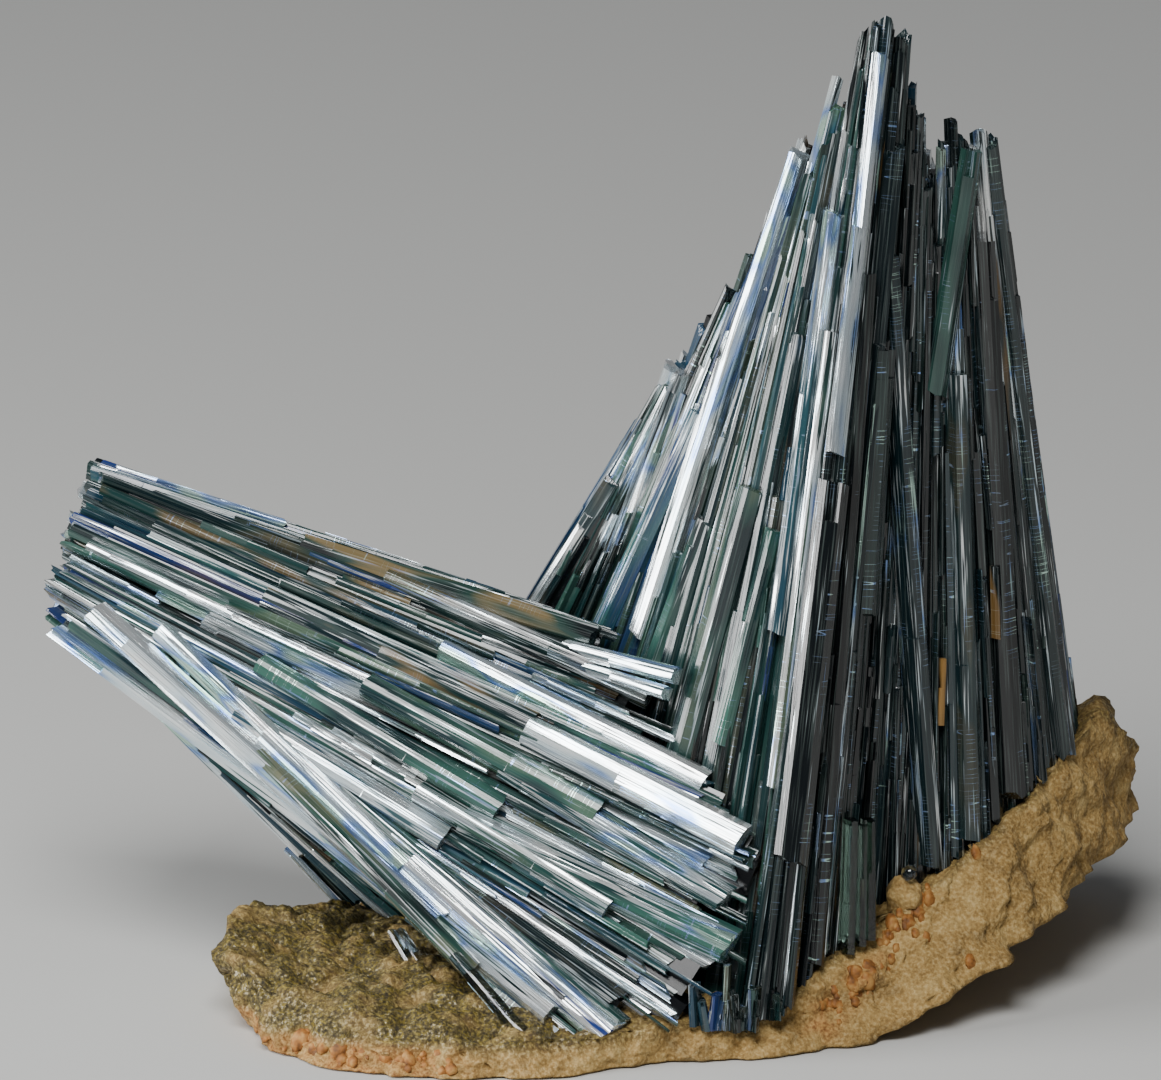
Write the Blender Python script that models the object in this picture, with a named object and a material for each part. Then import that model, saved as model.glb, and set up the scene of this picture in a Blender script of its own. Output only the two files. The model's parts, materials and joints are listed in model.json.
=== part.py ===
"""Vivianite: two sprays of dark bladed crystals and two small single crystals on a slab of tan rock.

Each spray is a sheaf of straight blades. Its form is set by guide lines, one for each place round the
sheaf: a line runs from a small tip, where the blades crowd together, to a wide foot. A place on a spray
is given by two numbers: the guide line, counted from 0 with a fraction for a place between two lines,
and the share of the way down it. All lengths are in millimetres until MM turns them into metres.
X runs to the right, Y away from the front, Z up.
"""

import math
import random

import bmesh
import bpy
from mathutils import Vector, noise

MM = 0.001

# Middle of the specimen's box in plan, seen from the point that the sizes below start from.
MIDDLE = Vector((-0.1, 3.25, 0.0))

GAP = 0.35  # clearance between crystal and rock
SPRAY_ROOM = 1.9  # how far the room cut for the upright spray stands off its guide surface
DEEP = 30.0  # how far a cutter reaches past what it cuts

# Guide lines of the upright spray, in order round it from its front ridge by the left: tip, then foot.
UPRIGHT_GUIDES = (
    ((29.0, -4.0, 101.0), (17.5, -24.0, 1.0)),
    ((26.5, -3.5, 99.5), (9.0, -18.0, 2.0)),
    ((25.0, -2.0, 97.0), (0.0, -9.0, 3.0)),
    ((23.5, 0.0, 93.0), (-8.0, 2.0, 3.5)),
    ((14.0, 3.0, 73.5), (-13.0, 7.0, 9.0)),
    ((2.0, 6.0, 51.5), (-19.0, 12.0, 17.0)),
    ((3.0, 9.0, 53.0), (-13.0, 19.0, 3.0)),
    ((20.0, 5.0, 85.0), (-4.0, 25.0, 2.5)),
    ((26.5, 4.0, 95.0), (10.0, 31.0, 4.0)),
    ((31.0, 3.0, 95.0), (26.0, 33.0, 8.0)),
    ((35.0, 4.0, 84.0), (41.0, 29.0, 18.0)),
    ((39.5, 4.5, 87.0), (48.8, 19.0, 24.0)),
    ((40.0, 1.0, 87.5), (48.6, 8.0, 22.0)),
    ((37.5, -1.5, 90.5), (42.0, -0.5, 17.0)),
    ((34.6, -1.0, 84.0), (35.0, -5.0, 12.0)),
    ((32.3, -2.5, 98.0), (27.5, -5.5, 9.5)),
    ((31.3, -4.0, 101.0), (22.5, -16.5, 5.0)),
)
# The solid middle of the upright spray is three overlapping wedges between these guide lines.
UPRIGHT_CORES = ((16, 0, 1, 2, 3, 7, 8, 9), (15, 14, 13, 12, 11, 10, 9, 8), (3, 4, 5, 6, 7))
UPRIGHT_BLADES = 50
UPRIGHT_SEED = 7

# Guide lines of the leaning spray, from its top edge by the front: tip, then foot.
LEANING_GUIDES = (
    ((-49.5, 12.0, 51.0), (1.5, -2.0, 38.0)),
    ((-50.5, 7.0, 50.0), (9.0, -12.0, 27.5)),
    ((-52.3, 4.0, 46.0), (14.5, -19.0, 21.5)),
    ((-54.0, 3.0, 42.0), (14.0, -23.5, 10.0)),
    ((-54.8, 4.5, 38.5), (4.0, -26.5, 2.0)),
    ((-54.6, 8.0, 36.0), (-3.5, -26.0, 2.5)),
    ((-54.2, 11.0, 35.2), (-11.0, 0.0, 5.0)),
    ((-54.0, 14.0, 35.7), (-24.0, 8.0, 5.0)),
    ((-53.5, 18.0, 38.5), (-17.0, 13.0, 9.0)),
    ((-52.0, 20.0, 45.0), (-9.0, 13.0, 28.0)),
    ((-49.8, 17.0, 50.0), (-3.0, 7.0, 36.0)),
)
LEANING_CORES = ((0, 1, 2, 3, 4, 5, 6, 9, 10), (6, 7, 8, 9, 10, 0))
LEANING_BLADES = 34
LEANING_SEED = 3

# Blades that stand out from the rest. Each row: guide and share at its upper end, guide and share at
# its lower end, half its width, and how far its face stands above the guide surface.
UPRIGHT_SINGLES = (
    (1.40, 0.46, 1.62, 0.80, 1.8, 1.0),
    (0.90, 0.50, 1.12, 0.72, 1.1, 0.7),
    (0.75, 0.18, 0.55, 0.60, 1.2, 0.9),
    (-0.07, 0.03, -0.05, 0.42, 1.0, 0.8),
    (-0.10, 0.45, -0.05, 0.82, 1.9, 1.0),
    (-0.10, 0.66, -0.20, 0.96, 1.3, 0.5),
    (-0.45, 0.25, -0.90, 0.97, 1.3, 0.6),
    (-1.30, 0.34, -1.45, 0.63, 1.6, 1.0),
    (-1.35, 0.24, -2.93, 0.97, 1.3, 0.4),
    (-3.45, 0.31, -3.45, 0.97, 1.5, 0.9),
    (-4.30, 0.17, -4.10, 0.97, 1.3, 0.8),
    (-4.10, 0.04, -2.90, 0.31, 1.3, 0.9),
    (3.20, 0.03, 2.75, 0.63, 1.3, 0.9),
    (3.12, 0.36, 3.43, 0.63, 1.3, 0.9),
)
LEANING_SINGLES = (
    (3.80, 0.36, 4.95, 0.84, 1.1, 1.4),
    (3.78, 0.57, 4.10, 0.98, 1.9, 0.9),
    (3.10, 0.55, 3.13, 0.84, 1.5, 1.0),
    (3.10, 0.62, 2.90, 1.00, 2.0, 0.9),
    (1.78, 0.70, 2.02, 1.01, 1.8, 1.0),
    (1.00, 0.60, 1.25, 1.02, 1.5, 0.8),
    (0.30, 0.55, 0.47, 1.02, 1.3, 0.8),
    (0.20, 0.40, 0.10, 0.97, 1.3, 0.6),
    (3.25, 0.07, 4.50, 0.72, 1.7, 0.8),
    (2.88, 0.16, 3.90, 0.61, 1.3, 0.9),
)
# A thin rod goes on from the first of these down to the front edge of the rock: upper end, lower end.
LOW_ROD = (Vector((-13.5, -21.0, 9.5)), Vector((-5.6, -27.6, 2.0)))
LOW_ROD_HALF = 0.9

# Two slim rods reach from the leaning spray over the gap to the upright one: ends, and half width.
CROSS_RODS = (
    (Vector((-2.5, -3.5, 36.5)), Vector((8.6, -12.0, 36.0)), 0.9),
    (Vector((-1.5, -4.5, 35.0)), Vector((7.6, -12.8, 34.4)), 0.7),
)

# Short upright crystals crowd round the foot of the ridge: x, y, height, half width.
RIDGE_STUBS = (
    (10.6, -25.0, 8.2, 0.9),
    (12.0, -25.6, 8.8, 0.9),
    (13.3, -25.2, 9.4, 0.8),
    (14.6, -25.4, 8.4, 1.0),
    (16.1, -24.9, 9.2, 0.9),
    (18.6, -23.6, 7.0, 0.9),
)
STUB_HALF_DEPTH = 3.0

# Outline of the rock, from its left end by the front: bottom x and y, then top x and y.
ROCK_OUTLINE = (
    (-34.0, -6.0, -36.8, -6.0),
    (-33.5, -17.0, -36.5, -14.0),
    (-29.0, -26.0, -31.0, -21.0),
    (-18.0, -31.0, -20.0, -27.5),
    (-5.0, -31.0, -6.5, -29.0),
    (6.0, -26.5, 6.0, -25.5),
    (17.0, -24.5, 16.0, -22.5),
    (28.0, -19.5, 24.5, -15.0),
    (36.0, -15.5, 32.0, -9.0),
    (43.0, -8.5, 40.0, -3.5),
    (50.0, 3.5, 46.5, 4.5),
    (54.0, 14.0, 50.8, 12.0),
    (55.0, 24.0, 54.5, 20.0),
    (49.5, 33.0, 49.5, 31.0),
    (36.0, 37.0, 36.0, 36.0),
    (18.0, 37.0, 18.0, 36.0),
    (3.0, 34.0, 3.0, 33.0),
    (-8.0, 27.0, -8.0, 26.0),
    (-17.0, 17.0, -17.5, 16.5),
    (-25.0, 8.5, -26.0, 8.0),
    (-34.0, 3.5, -35.5, 3.5),
)
ROCK_STATIONS = 84  # points round the rock's edge
ROCK_WALL_STEPS = 3
ROCK_TOP_SHARES = (0.96, 0.91, 0.86, 0.80, 0.72, 0.60, 0.36)
ROCK_FOOT_SHARES = (0.40, 0.93)
ROCK_CENTRE = Vector((8.0, 2.0, 0.0))

FRONT_LIP = 2.7  # thickness of the thin front edge
LEFT_TOP = 5.0  # height of the rock's top at the left
LUMP_PITCH = 3.4
LUMP_HEIGHT = 1.2
RISE_START = 17.0  # where the top starts to climb to the right
RISE_SLOPE = 0.40
RISE_CURVE = 0.0060
UNDERCUT_START = 28.0  # where the underside lifts off the table
UNDERCUT_SLOPE = 0.45

CORE_DROP = 2.0  # how far the solid middle of a spray stays below the tips
CORE_TIP_SHARE = 0.7
CORE_FOOT_SHARE = 0.88
END_SINK = 2.2  # how deep the blades lie that fill a spray's blunt end
HALF_WIDTH_RANGE = (0.75, 3.0)
HALF_DEPTH_RANGE = (0.9, 1.5)
RAISED_RANGE = (-0.7, 0.8)  # how far a blade's broad face stands above or below the guide surface

CRYSTAL_COLOUR = (0.012, 0.045, 0.045, 1.0)
PALE_COLOUR = (0.45, 0.52, 0.56, 1.0)
ROCK_COLOUR = (0.36, 0.25, 0.12, 1.0)


def clear_scene():
    for obj in list(bpy.data.objects):
        bpy.data.objects.remove(obj)


def material(name, colour, roughness):
    made = bpy.data.materials.new(name)
    made.use_nodes = True
    shader = made.node_tree.nodes["Principled BSDF"]
    shader.inputs["Base Color"].default_value = colour
    shader.inputs["Roughness"].default_value = roughness
    shader.inputs["Metallic"].default_value = 0.0
    made.diffuse_color = colour
    return made


def to_object(name, bm, finish):
    """Puts a bmesh that is drawn in millimetres into the scene, in metres."""
    bmesh.ops.translate(bm, verts=bm.verts, vec=-MIDDLE)
    bmesh.ops.scale(bm, verts=bm.verts, vec=(MM, MM, MM))
    bmesh.ops.recalc_face_normals(bm, faces=bm.faces)
    mesh = bpy.data.meshes.new(name)
    bm.to_mesh(mesh)
    bm.free()
    mesh.materials.append(finish)
    obj = bpy.data.objects.new(name, mesh)
    bpy.context.scene.collection.objects.link(obj)
    return obj


def as_cutter(obj):
    obj.hide_render = True
    obj.display_type = "WIRE"
    return obj


def clamp(value, low, high):
    return min(high, max(low, value))


def smooth(value, low, high):
    share = clamp((value - low) / (high - low), 0.0, 1.0)
    return share * share * (3.0 - 2.0 * share)


def hull(name, points, finish):
    """The smallest solid without hollows round some points."""
    bm = bmesh.new()
    for point in points:
        bm.verts.new(point)
    made = bmesh.ops.convex_hull(bm, input=bm.verts)
    loose = {v for v in made["geom_interior"] + made["geom_unused"] if isinstance(v, bmesh.types.BMVert)}
    bmesh.ops.delete(bm, geom=list(loose), context="VERTS")
    return to_object(name, bm, finish)


def skin(name, rings, finish):
    """A closed solid through rings of points, its first and last ring closed with a fan."""
    bm = bmesh.new()
    made = [[bm.verts.new(p) for p in ring] for ring in rings]
    count = len(rings[0])
    for low, high in zip(made, made[1:]):
        for i in range(count):
            j = (i + 1) % count
            bm.faces.new((low[i], low[j], high[j]))
            bm.faces.new((low[i], high[j], high[i]))
    for ring in (made[0], made[-1]):
        hub = bm.verts.new(sum((v.co for v in ring), Vector()) / count)
        for i in range(count):
            bm.faces.new((ring[i], ring[(i + 1) % count], hub))
    return to_object(name, bm, finish)


# Joining and cutting


def settled(obj):
    """Replaces an object's mesh with what its modifiers make of it."""
    graph = bpy.context.evaluated_depsgraph_get()
    mesh = bpy.data.meshes.new_from_object(obj.evaluated_get(graph))
    obj.modifiers.clear()
    obj.data = mesh
    return obj


def main_body(obj):
    """Keeps the largest closed surface of a mesh and drops loose chips and bubbles inside it."""
    bm = bmesh.new()
    bm.from_mesh(obj.data)
    todo = set(bm.verts)
    groups = []
    while todo:
        group, edge = [], [todo.pop()]
        while edge:
            vert = edge.pop()
            group.append(vert)
            for link in vert.link_edges:
                other = link.other_vert(vert)
                if other in todo:
                    todo.remove(other)
                    edge.append(other)
        groups.append(group)
    groups.sort(key=len)
    for group in groups[:-1]:
        bmesh.ops.delete(bm, geom=group, context="VERTS")
    bm.to_mesh(obj.data)
    bm.free()
    return obj


def grown_together(name, pieces, cutters):
    """Joins overlapping crystals in one solid, then takes the cutters' room out of it. The cuts leave
    open edges with the EXACT solver, so they are made with MANIFOLD."""
    body, rest = pieces[0], pieces[1:]
    body.name = name
    members = bpy.data.collections.new(name + "_members")
    bpy.context.scene.collection.children.link(members)
    for piece in rest:
        bpy.context.scene.collection.objects.unlink(piece)
        members.objects.link(piece)
    if rest:
        join = body.modifiers.new("join", "BOOLEAN")
        join.operation = "UNION"
        join.operand_type = "COLLECTION"
        join.collection = members
        join.solver = "EXACT"
    for cutter in cutters:
        cut = body.modifiers.new("cut", "BOOLEAN")
        cut.operation = "DIFFERENCE"
        cut.object = cutter
        cut.solver = "MANIFOLD"
    bpy.context.view_layer.update()
    settled(body)
    for piece in rest:
        bpy.data.objects.remove(piece)
    bpy.data.collections.remove(members)
    return main_body(body)


# Crystal blades

# A blade's cross-section, as shares of its half width and half depth: a broad face and two bevels.
BLADE_SECTION = ((1.0, -1.0), (0.72, 1.0), (-0.72, 1.0), (-1.0, -1.0))


def blade(name, ends, looks, halves, slant, finish):
    """A flat crystal with its broad face on the looks side. ends are its tip and foot, halves its half
    width and half depth at each of them, and slant tips its end faces sideways and back."""
    tip, foot = ends
    along = (foot - tip).normalized()
    out = (looks - along * looks.dot(along)).normalized()
    side = along.cross(out)
    bm = bmesh.new()
    rings = []
    for centre, half, turned in ((tip, halves[0], -1.0), (foot, halves[1], 1.0)):
        ring = []
        for across, deep in BLADE_SECTION:
            shift = turned * half[0] * (slant[0] * across + slant[1] * deep)
            ring.append(bm.verts.new(centre + side * across * half[0] + out * deep * half[1] + along * shift))
        rings.append(ring)
    count = len(BLADE_SECTION)
    for i in range(count):
        j = (i + 1) % count
        bm.faces.new((rings[0][i], rings[0][j], rings[1][j], rings[1][i]))
    bm.faces.new(rings[0])
    bm.faces.new(rings[1])
    return to_object(name, bm, finish)


def on_spray(guides, line, down):
    """The point on a spray's surface at this guide line and this share of the way down it."""
    index = math.floor(line)
    share = line - index
    here, there = guides[index % len(guides)], guides[(index + 1) % len(guides)]
    tip = Vector(here[0]).lerp(Vector(there[0]), share)
    foot = Vector(here[1]).lerp(Vector(there[1]), share)
    return tip.lerp(foot, down)


def outward(guides, line, down):
    """The way a spray's side looks at a place, evened out over the corners between guide lines."""
    reach = 0.4
    lengthways = on_spray(guides, line, 1.0) - on_spray(guides, line, 0.0)
    across = on_spray(guides, line + reach, down) - on_spray(guides, line - reach, down)
    return across.cross(lengthways).normalized()


def pitch_at(guides, line, down, reach):
    """How far apart the lines on either side of a place lie, measured square to their length."""
    across = on_spray(guides, line + reach, down) - on_spray(guides, line - reach, down)
    along = (on_spray(guides, line, 1.0) - on_spray(guides, line, 0.0)).normalized()
    return (across - along * across.dot(along)).length


def even_lines(guides, count):
    """Places round a spray, as guide line numbers, the same distance apart near its foot."""
    steps_per_line = 20
    fine = steps_per_line * len(guides)
    reach = 0.5 / steps_per_line
    lengths = [pitch_at(guides, i / steps_per_line, 0.7, reach) for i in range(fine)]
    step = sum(lengths) / count
    lines, walked = [], 0.0
    for i, length in enumerate(lengths):
        walked += length
        if walked >= step * len(lines) and len(lines) < count:
            lines.append(i / steps_per_line)
    return lines


def core(name, guides, picked, finish):
    """A solid wedge between the picked guide lines, drawn in a little so that blades cover it."""
    tips = [Vector(guides[i][0]) for i in picked]
    feet = [Vector(guides[i][1]) for i in picked]
    tip_middle = sum(tips, Vector()) / len(tips)
    foot_middle = sum(feet, Vector()) / len(feet)
    drop = (foot_middle - tip_middle).normalized() * CORE_DROP
    points = [tip_middle + (p - tip_middle) * CORE_TIP_SHARE + drop for p in tips]
    points += [foot_middle + (p - foot_middle) * CORE_FOOT_SHARE for p in feet]
    return hull(name, points, finish)


def spray_blades(name, guides, count, seed, latest_start, stop_range, finish):
    """The outer blades of a spray, side by side round it. latest_start is the share of the way down
    of the lowest tip, and stop_range that of the feet."""
    draw = random.Random(seed)
    made = []
    lines = even_lines(guides, count)
    for i, line in enumerate(lines):
        reach = 0.5 * ((lines[(i + 1) % count] - line) % len(guides))
        line += draw.uniform(-0.3, 0.3) * reach
        start = draw.choice((0.0, 0.0, 0.4, 1.0)) * draw.uniform(0.2, 1.0) * latest_start
        stop = draw.uniform(*stop_range)
        looks = outward(guides, line, 0.6)
        raised = draw.uniform(*RAISED_RANGE)
        halves = []
        for down in (start, stop):
            wide = clamp(pitch_at(guides, line, down, reach) * draw.uniform(0.55, 0.8), *HALF_WIDTH_RANGE)
            halves.append((wide, clamp(wide * draw.uniform(0.7, 0.9), *HALF_DEPTH_RANGE)))
        tip = on_spray(guides, line, start) + looks * (raised - halves[0][1])
        foot = on_spray(guides, line, stop) + looks * (raised - halves[1][1])
        along = (foot - tip).normalized()
        looks = (looks + along.cross(looks) * draw.uniform(-0.3, 0.3)).normalized()
        slant = (draw.uniform(-0.7, 0.7), draw.uniform(-0.3, 0.3))
        made.append(blade(f"{name}_{i}", (tip, foot), looks, halves, slant, finish))
    return made


def end_blades(name, guides, count, seed, finish):
    """Thicker blades inside a spray: only their blunt upper ends show, and fill its tip."""
    draw = random.Random(seed)
    made = []
    for i in range(count):
        line = i * len(guides) / count
        looks = outward(guides, line, 0.1)
        tip = on_spray(guides, line, draw.uniform(0.0, 0.03)) - looks * END_SINK
        foot = on_spray(guides, line, 0.45) - looks * 2.0 * END_SINK
        half = (draw.uniform(1.6, 2.2), END_SINK)
        slant = (draw.uniform(-0.4, 0.4), 0.2)
        made.append(blade(f"{name}_{i}", (tip, foot), looks, (half, half), slant, finish))
    return made


def single_blades(name, guides, rows, finish):
    made = []
    for i, (line_up, share_up, line_low, share_low, half, raised) in enumerate(rows):
        looks = outward(guides, 0.5 * (line_up + line_low), 0.5 * (share_up + share_low))
        depth = clamp(half, *HALF_DEPTH_RANGE)
        tip = on_spray(guides, line_up, share_up) + looks * (raised - depth)
        foot = on_spray(guides, line_low, share_low) + looks * (raised - depth)
        slant = (0.5 if i % 2 else -0.4, 0.1)
        halves = ((0.8 * half, depth), (half, depth))
        made.append(blade(f"{name}_{i}", (tip, foot), looks, halves, slant, finish))
    return made


def low_rod(finish):
    half = (LOW_ROD_HALF, LOW_ROD_HALF)
    return blade("low_rod", LOW_ROD, Vector((-0.3, -0.9, 0.4)), (half, half), (0.2, 0.0), finish)


def cross_crystals(finish):
    made = []
    looks = Vector((-0.2, -0.9, 0.5))
    for i, (tip, foot, half_width) in enumerate(CROSS_RODS):
        half = (half_width, 0.8)
        made.append(blade(f"cross_{i}", (tip, foot), looks, (half, half), (0.3, 0.0), finish))
    return made


def ridge_foot_stubs(finish):
    """Each stub's front face stands at its own y, and its depth joins it to the ridge behind."""
    made = []
    for i, (x, y, height, half_width) in enumerate(RIDGE_STUBS):
        ends = (Vector((x + 0.2, y + STUB_HALF_DEPTH + 0.6, height)), Vector((x, y + STUB_HALF_DEPTH, 0.5)))
        half = (half_width, STUB_HALF_DEPTH)
        looks = Vector((0.15 * (i % 3 - 1), -1.0, 0.0))
        made.append(blade(f"stub_{i}", ends, looks, (half, half), (0.1, 0.0), finish))
    return made


# The rock


def rock_top(x, y):
    """Height of the rock's top: thin at the front, a rim at the left, climbing to the right."""
    inward = smooth(y, -31.0, -16.0) * (1.0 - smooth(x, 6.0, 18.0))
    level = FRONT_LIP + (LEFT_TOP - FRONT_LIP) * inward
    level += 1.6 * smooth(x, 2.0, 17.0) * smooth(y, -27.0, -16.0)
    level += 1.4 * (1.0 - smooth(x, -36.5, -29.0)) * smooth(y, -24.0, -12.0)
    level -= 2.0 * smooth(y, 6.0, 16.0) * (1.0 - smooth(x, -10.0, 4.0))
    climb = max(0.0, x - RISE_START)
    level += (RISE_SLOPE * climb + RISE_CURVE * climb * climb) * (1.0 - 0.2 * smooth(y, 14.0, 36.0))
    level -= 8.0 * smooth(x, 51.0, 55.5)
    return level


def rock_bottom(x):
    return UNDERCUT_SLOPE * max(0.0, x - UNDERCUT_START)


def lumps(x, y):
    """Rounded growth lumps on the left part of the top; they fade out under the crystals."""
    near = noise.voronoi(Vector((x / LUMP_PITCH, y / LUMP_PITCH, 0.0)))[0][0]
    dome = math.sqrt(max(0.0, 1.0 - (near / 0.75) ** 2))
    return LUMP_HEIGHT * dome * (1.0 - smooth(x, -14.0, -2.0))


def rough(x, y, z, size, height):
    return height * noise.noise(Vector((x, y, z)) / size)


def rock_edge():
    """Points along a smooth closed curve through the outline's own points."""
    total = len(ROCK_OUTLINE)
    made = []
    for i in range(ROCK_STATIONS):
        place = i * total / ROCK_STATIONS
        k, t = int(place), place - int(place)
        a, b, c, d = (Vector(ROCK_OUTLINE[(k + n) % total]) for n in (-1, 0, 1, 2))
        curve = 2.0 * b + (c - a) * t + (2.0 * a - 5.0 * b + 4.0 * c - d) * t * t
        made.append(0.5 * (curve + (3.0 * b - a - 3.0 * c + d) * t**3))
    return made


def rock_wall(edge, up):
    """A ring of points on the rock's broken edge, this share of the way up it."""
    ring = []
    for bottom_x, bottom_y, top_x, top_y in edge:
        x, y = bottom_x + (top_x - bottom_x) * up, bottom_y + (top_y - bottom_y) * up
        low, high = rock_bottom(x), rock_top(x, y) + lumps(x, y) * 0.6
        z = low + (max(high, low + 1.0) - low) * up
        push = rough(x, y, z, 4.0, 1.5) + rough(x, y, z, 1.7, 0.6)
        away = (Vector((x, y, 0.0)) - ROCK_CENTRE).normalized()
        ring.append(Vector((x, y, z)) + away * push)
    return ring


def rock_cover(edge, share):
    """A ring of points on the rock's top, this share of the way from its middle to its edge."""
    ring = []
    for _, _, top_x, top_y in edge:
        spot = ROCK_CENTRE.lerp(Vector((top_x, top_y, 0.0)), share)
        uneven = rough(spot.x, spot.y, 0.0, 5.0, 0.9) * smooth(share, 0.3, 0.9)
        ring.append(Vector((spot.x, spot.y, rock_top(spot.x, spot.y) + lumps(spot.x, spot.y) + uneven)))
    return ring


def rock_foot(edge, share):
    ring = []
    for bottom_x, bottom_y, _, _ in edge:
        spot = ROCK_CENTRE.lerp(Vector((bottom_x, bottom_y, 0.0)), share)
        ring.append(Vector((spot.x, spot.y, rock_bottom(spot.x))))
    return ring


def make_rock(finish):
    edge = rock_edge()
    rings = [rock_foot(edge, share) for share in ROCK_FOOT_SHARES]
    rings += [rock_wall(edge, step / ROCK_WALL_STEPS) for step in range(ROCK_WALL_STEPS + 1)]
    rings += [rock_cover(edge, share) for share in ROCK_TOP_SHARES]
    return skin("matrix", rings, finish)


# Cutters


def rock_room(finish):
    """The space that crystals keep clear of: the rock's own top raised by the gap, carried out past its
    edge, and all below it."""
    edge = rock_edge()
    top = [rock_wall(edge, 1.0)] + [rock_cover(edge, share) for share in ROCK_TOP_SHARES]
    raised = [[p + Vector((0.0, 0.0, GAP)) for p in ring] for ring in top]
    far = [ROCK_CENTRE + (p - ROCK_CENTRE) * 2.5 for p in raised[0]]
    for there, here in zip(far, raised[0]):
        there.z = here.z
    floor = [Vector((p.x, p.y, -DEEP)) for p in far]
    return as_cutter(skin("rock_room", [floor, far] + raised, finish))


def spray_room(name, guides, finish):
    """A spray's guide surface, grown outward and carried past both ends."""
    rings = []
    points_per_line = 4
    for down in (-0.08, 0.2, 0.4, 0.6, 0.8, 1.0, 1.3):
        ring = []
        for i in range(points_per_line * len(guides)):
            line = i / points_per_line
            ring.append(on_spray(guides, line, down) + outward(guides, line, down) * SPRAY_ROOM)
        rings.append(ring)
    return as_cutter(skin(name, rings, finish))


def stub_room(finish):
    """The room that the stubs at the ridge's foot take up."""
    corners = []
    for x, y in ((9.2, -26.6), (20.0, -25.4), (20.0, -19.0), (9.2, -19.0)):
        corners += [Vector((x, y, -1.0)), Vector((x, y, 10.0))]
    return as_cutter(hull("stub_room", corners, finish))


# The pieces


def make_upright(finish, room):
    parts = [core(f"upright_core_{i}", UPRIGHT_GUIDES, lines, finish) for i, lines in enumerate(UPRIGHT_CORES)]
    parts += spray_blades("upright", UPRIGHT_GUIDES, UPRIGHT_BLADES, UPRIGHT_SEED, 0.30, (1.02, 1.08), finish)
    parts += single_blades("upright_single", UPRIGHT_GUIDES, UPRIGHT_SINGLES, finish)
    parts += end_blades("upright_end", UPRIGHT_GUIDES, 7, UPRIGHT_SEED, finish)
    parts += ridge_foot_stubs(finish)
    return grown_together("upright_spray", parts, [room])


def make_leaning(finish, rooms):
    parts = [core(f"leaning_core_{i}", LEANING_GUIDES, lines, finish) for i, lines in enumerate(LEANING_CORES)]
    parts += spray_blades("leaning", LEANING_GUIDES, LEANING_BLADES, LEANING_SEED, 0.16, (0.93, 1.05), finish)
    parts += single_blades("leaning_single", LEANING_GUIDES, LEANING_SINGLES, finish)
    parts += end_blades("leaning_end", LEANING_GUIDES, 8, LEANING_SEED, finish)
    parts.append(low_rod(finish))
    parts += cross_crystals(finish)
    return grown_together("leaning_spray", parts, rooms)


def make_stub_crystal(finish, rooms):
    """A short broken crystal that stands on the rock before the upright spray's dark flank."""
    ends = (Vector((27.0, -12.6, 22.0)), Vector((26.8, -14.0, 6.0)))
    stub = blade("stub", ends, Vector((0.3, -0.95, 0.1)), ((1.5, 1.2), (1.7, 1.3)), (0.15, 0.1), finish)
    return grown_together("stub_crystal", [stub], rooms)


def make_small_crystal(finish, rooms):
    """A pale crystal that leans on the lumps at the left."""
    ends = (Vector((-19.6, -10.0, 9.0)), Vector((-16.2, -14.0, 4.5)))
    small = blade("small", ends, Vector((-0.3, -0.7, 0.7)), ((0.9, 0.7), (0.9, 0.7)), (0.4, 0.1), finish)
    return grown_together("small_crystal", [small], rooms)


def main():
    clear_scene()
    crystal = material("vivianite", CRYSTAL_COLOUR, 0.2)
    pale = material("pale_vivianite", PALE_COLOUR, 0.3)
    rock = material("ironstone", ROCK_COLOUR, 0.85)
    make_rock(rock)
    above_rock = rock_room(rock)
    clear_of_upright = spray_room("upright_room", UPRIGHT_GUIDES, crystal)
    make_upright(crystal, above_rock)
    make_leaning(crystal, [above_rock, clear_of_upright, stub_room(crystal)])
    make_stub_crystal(crystal, [above_rock, clear_of_upright])
    make_small_crystal(pale, [above_rock])


main()
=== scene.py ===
# %% [markdown]
# # Vivianite on ironstone
#
# Vivianite is a hydrated iron phosphate. It grows as long flat blades that split as easily as mica along
# one direction, so a blade's broad face is a stack of glossy sheets with broken edges. Fresh crystals are
# clear and pale; light darkens them to blue-green and almost black. This specimen has two sheaves of
# such blades on a slab of tan ironstone: one stands upright, and one leans in from the left.
#
# The solids of the frame give the right masses and outlines. This script gives each spray its hundreds
# of thin blades, the rock its grain, lumps and pods, and each material its finish.

# %% Load the frame
import json
import math
import random

import bmesh
import bpy
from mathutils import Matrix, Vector, noise

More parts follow.
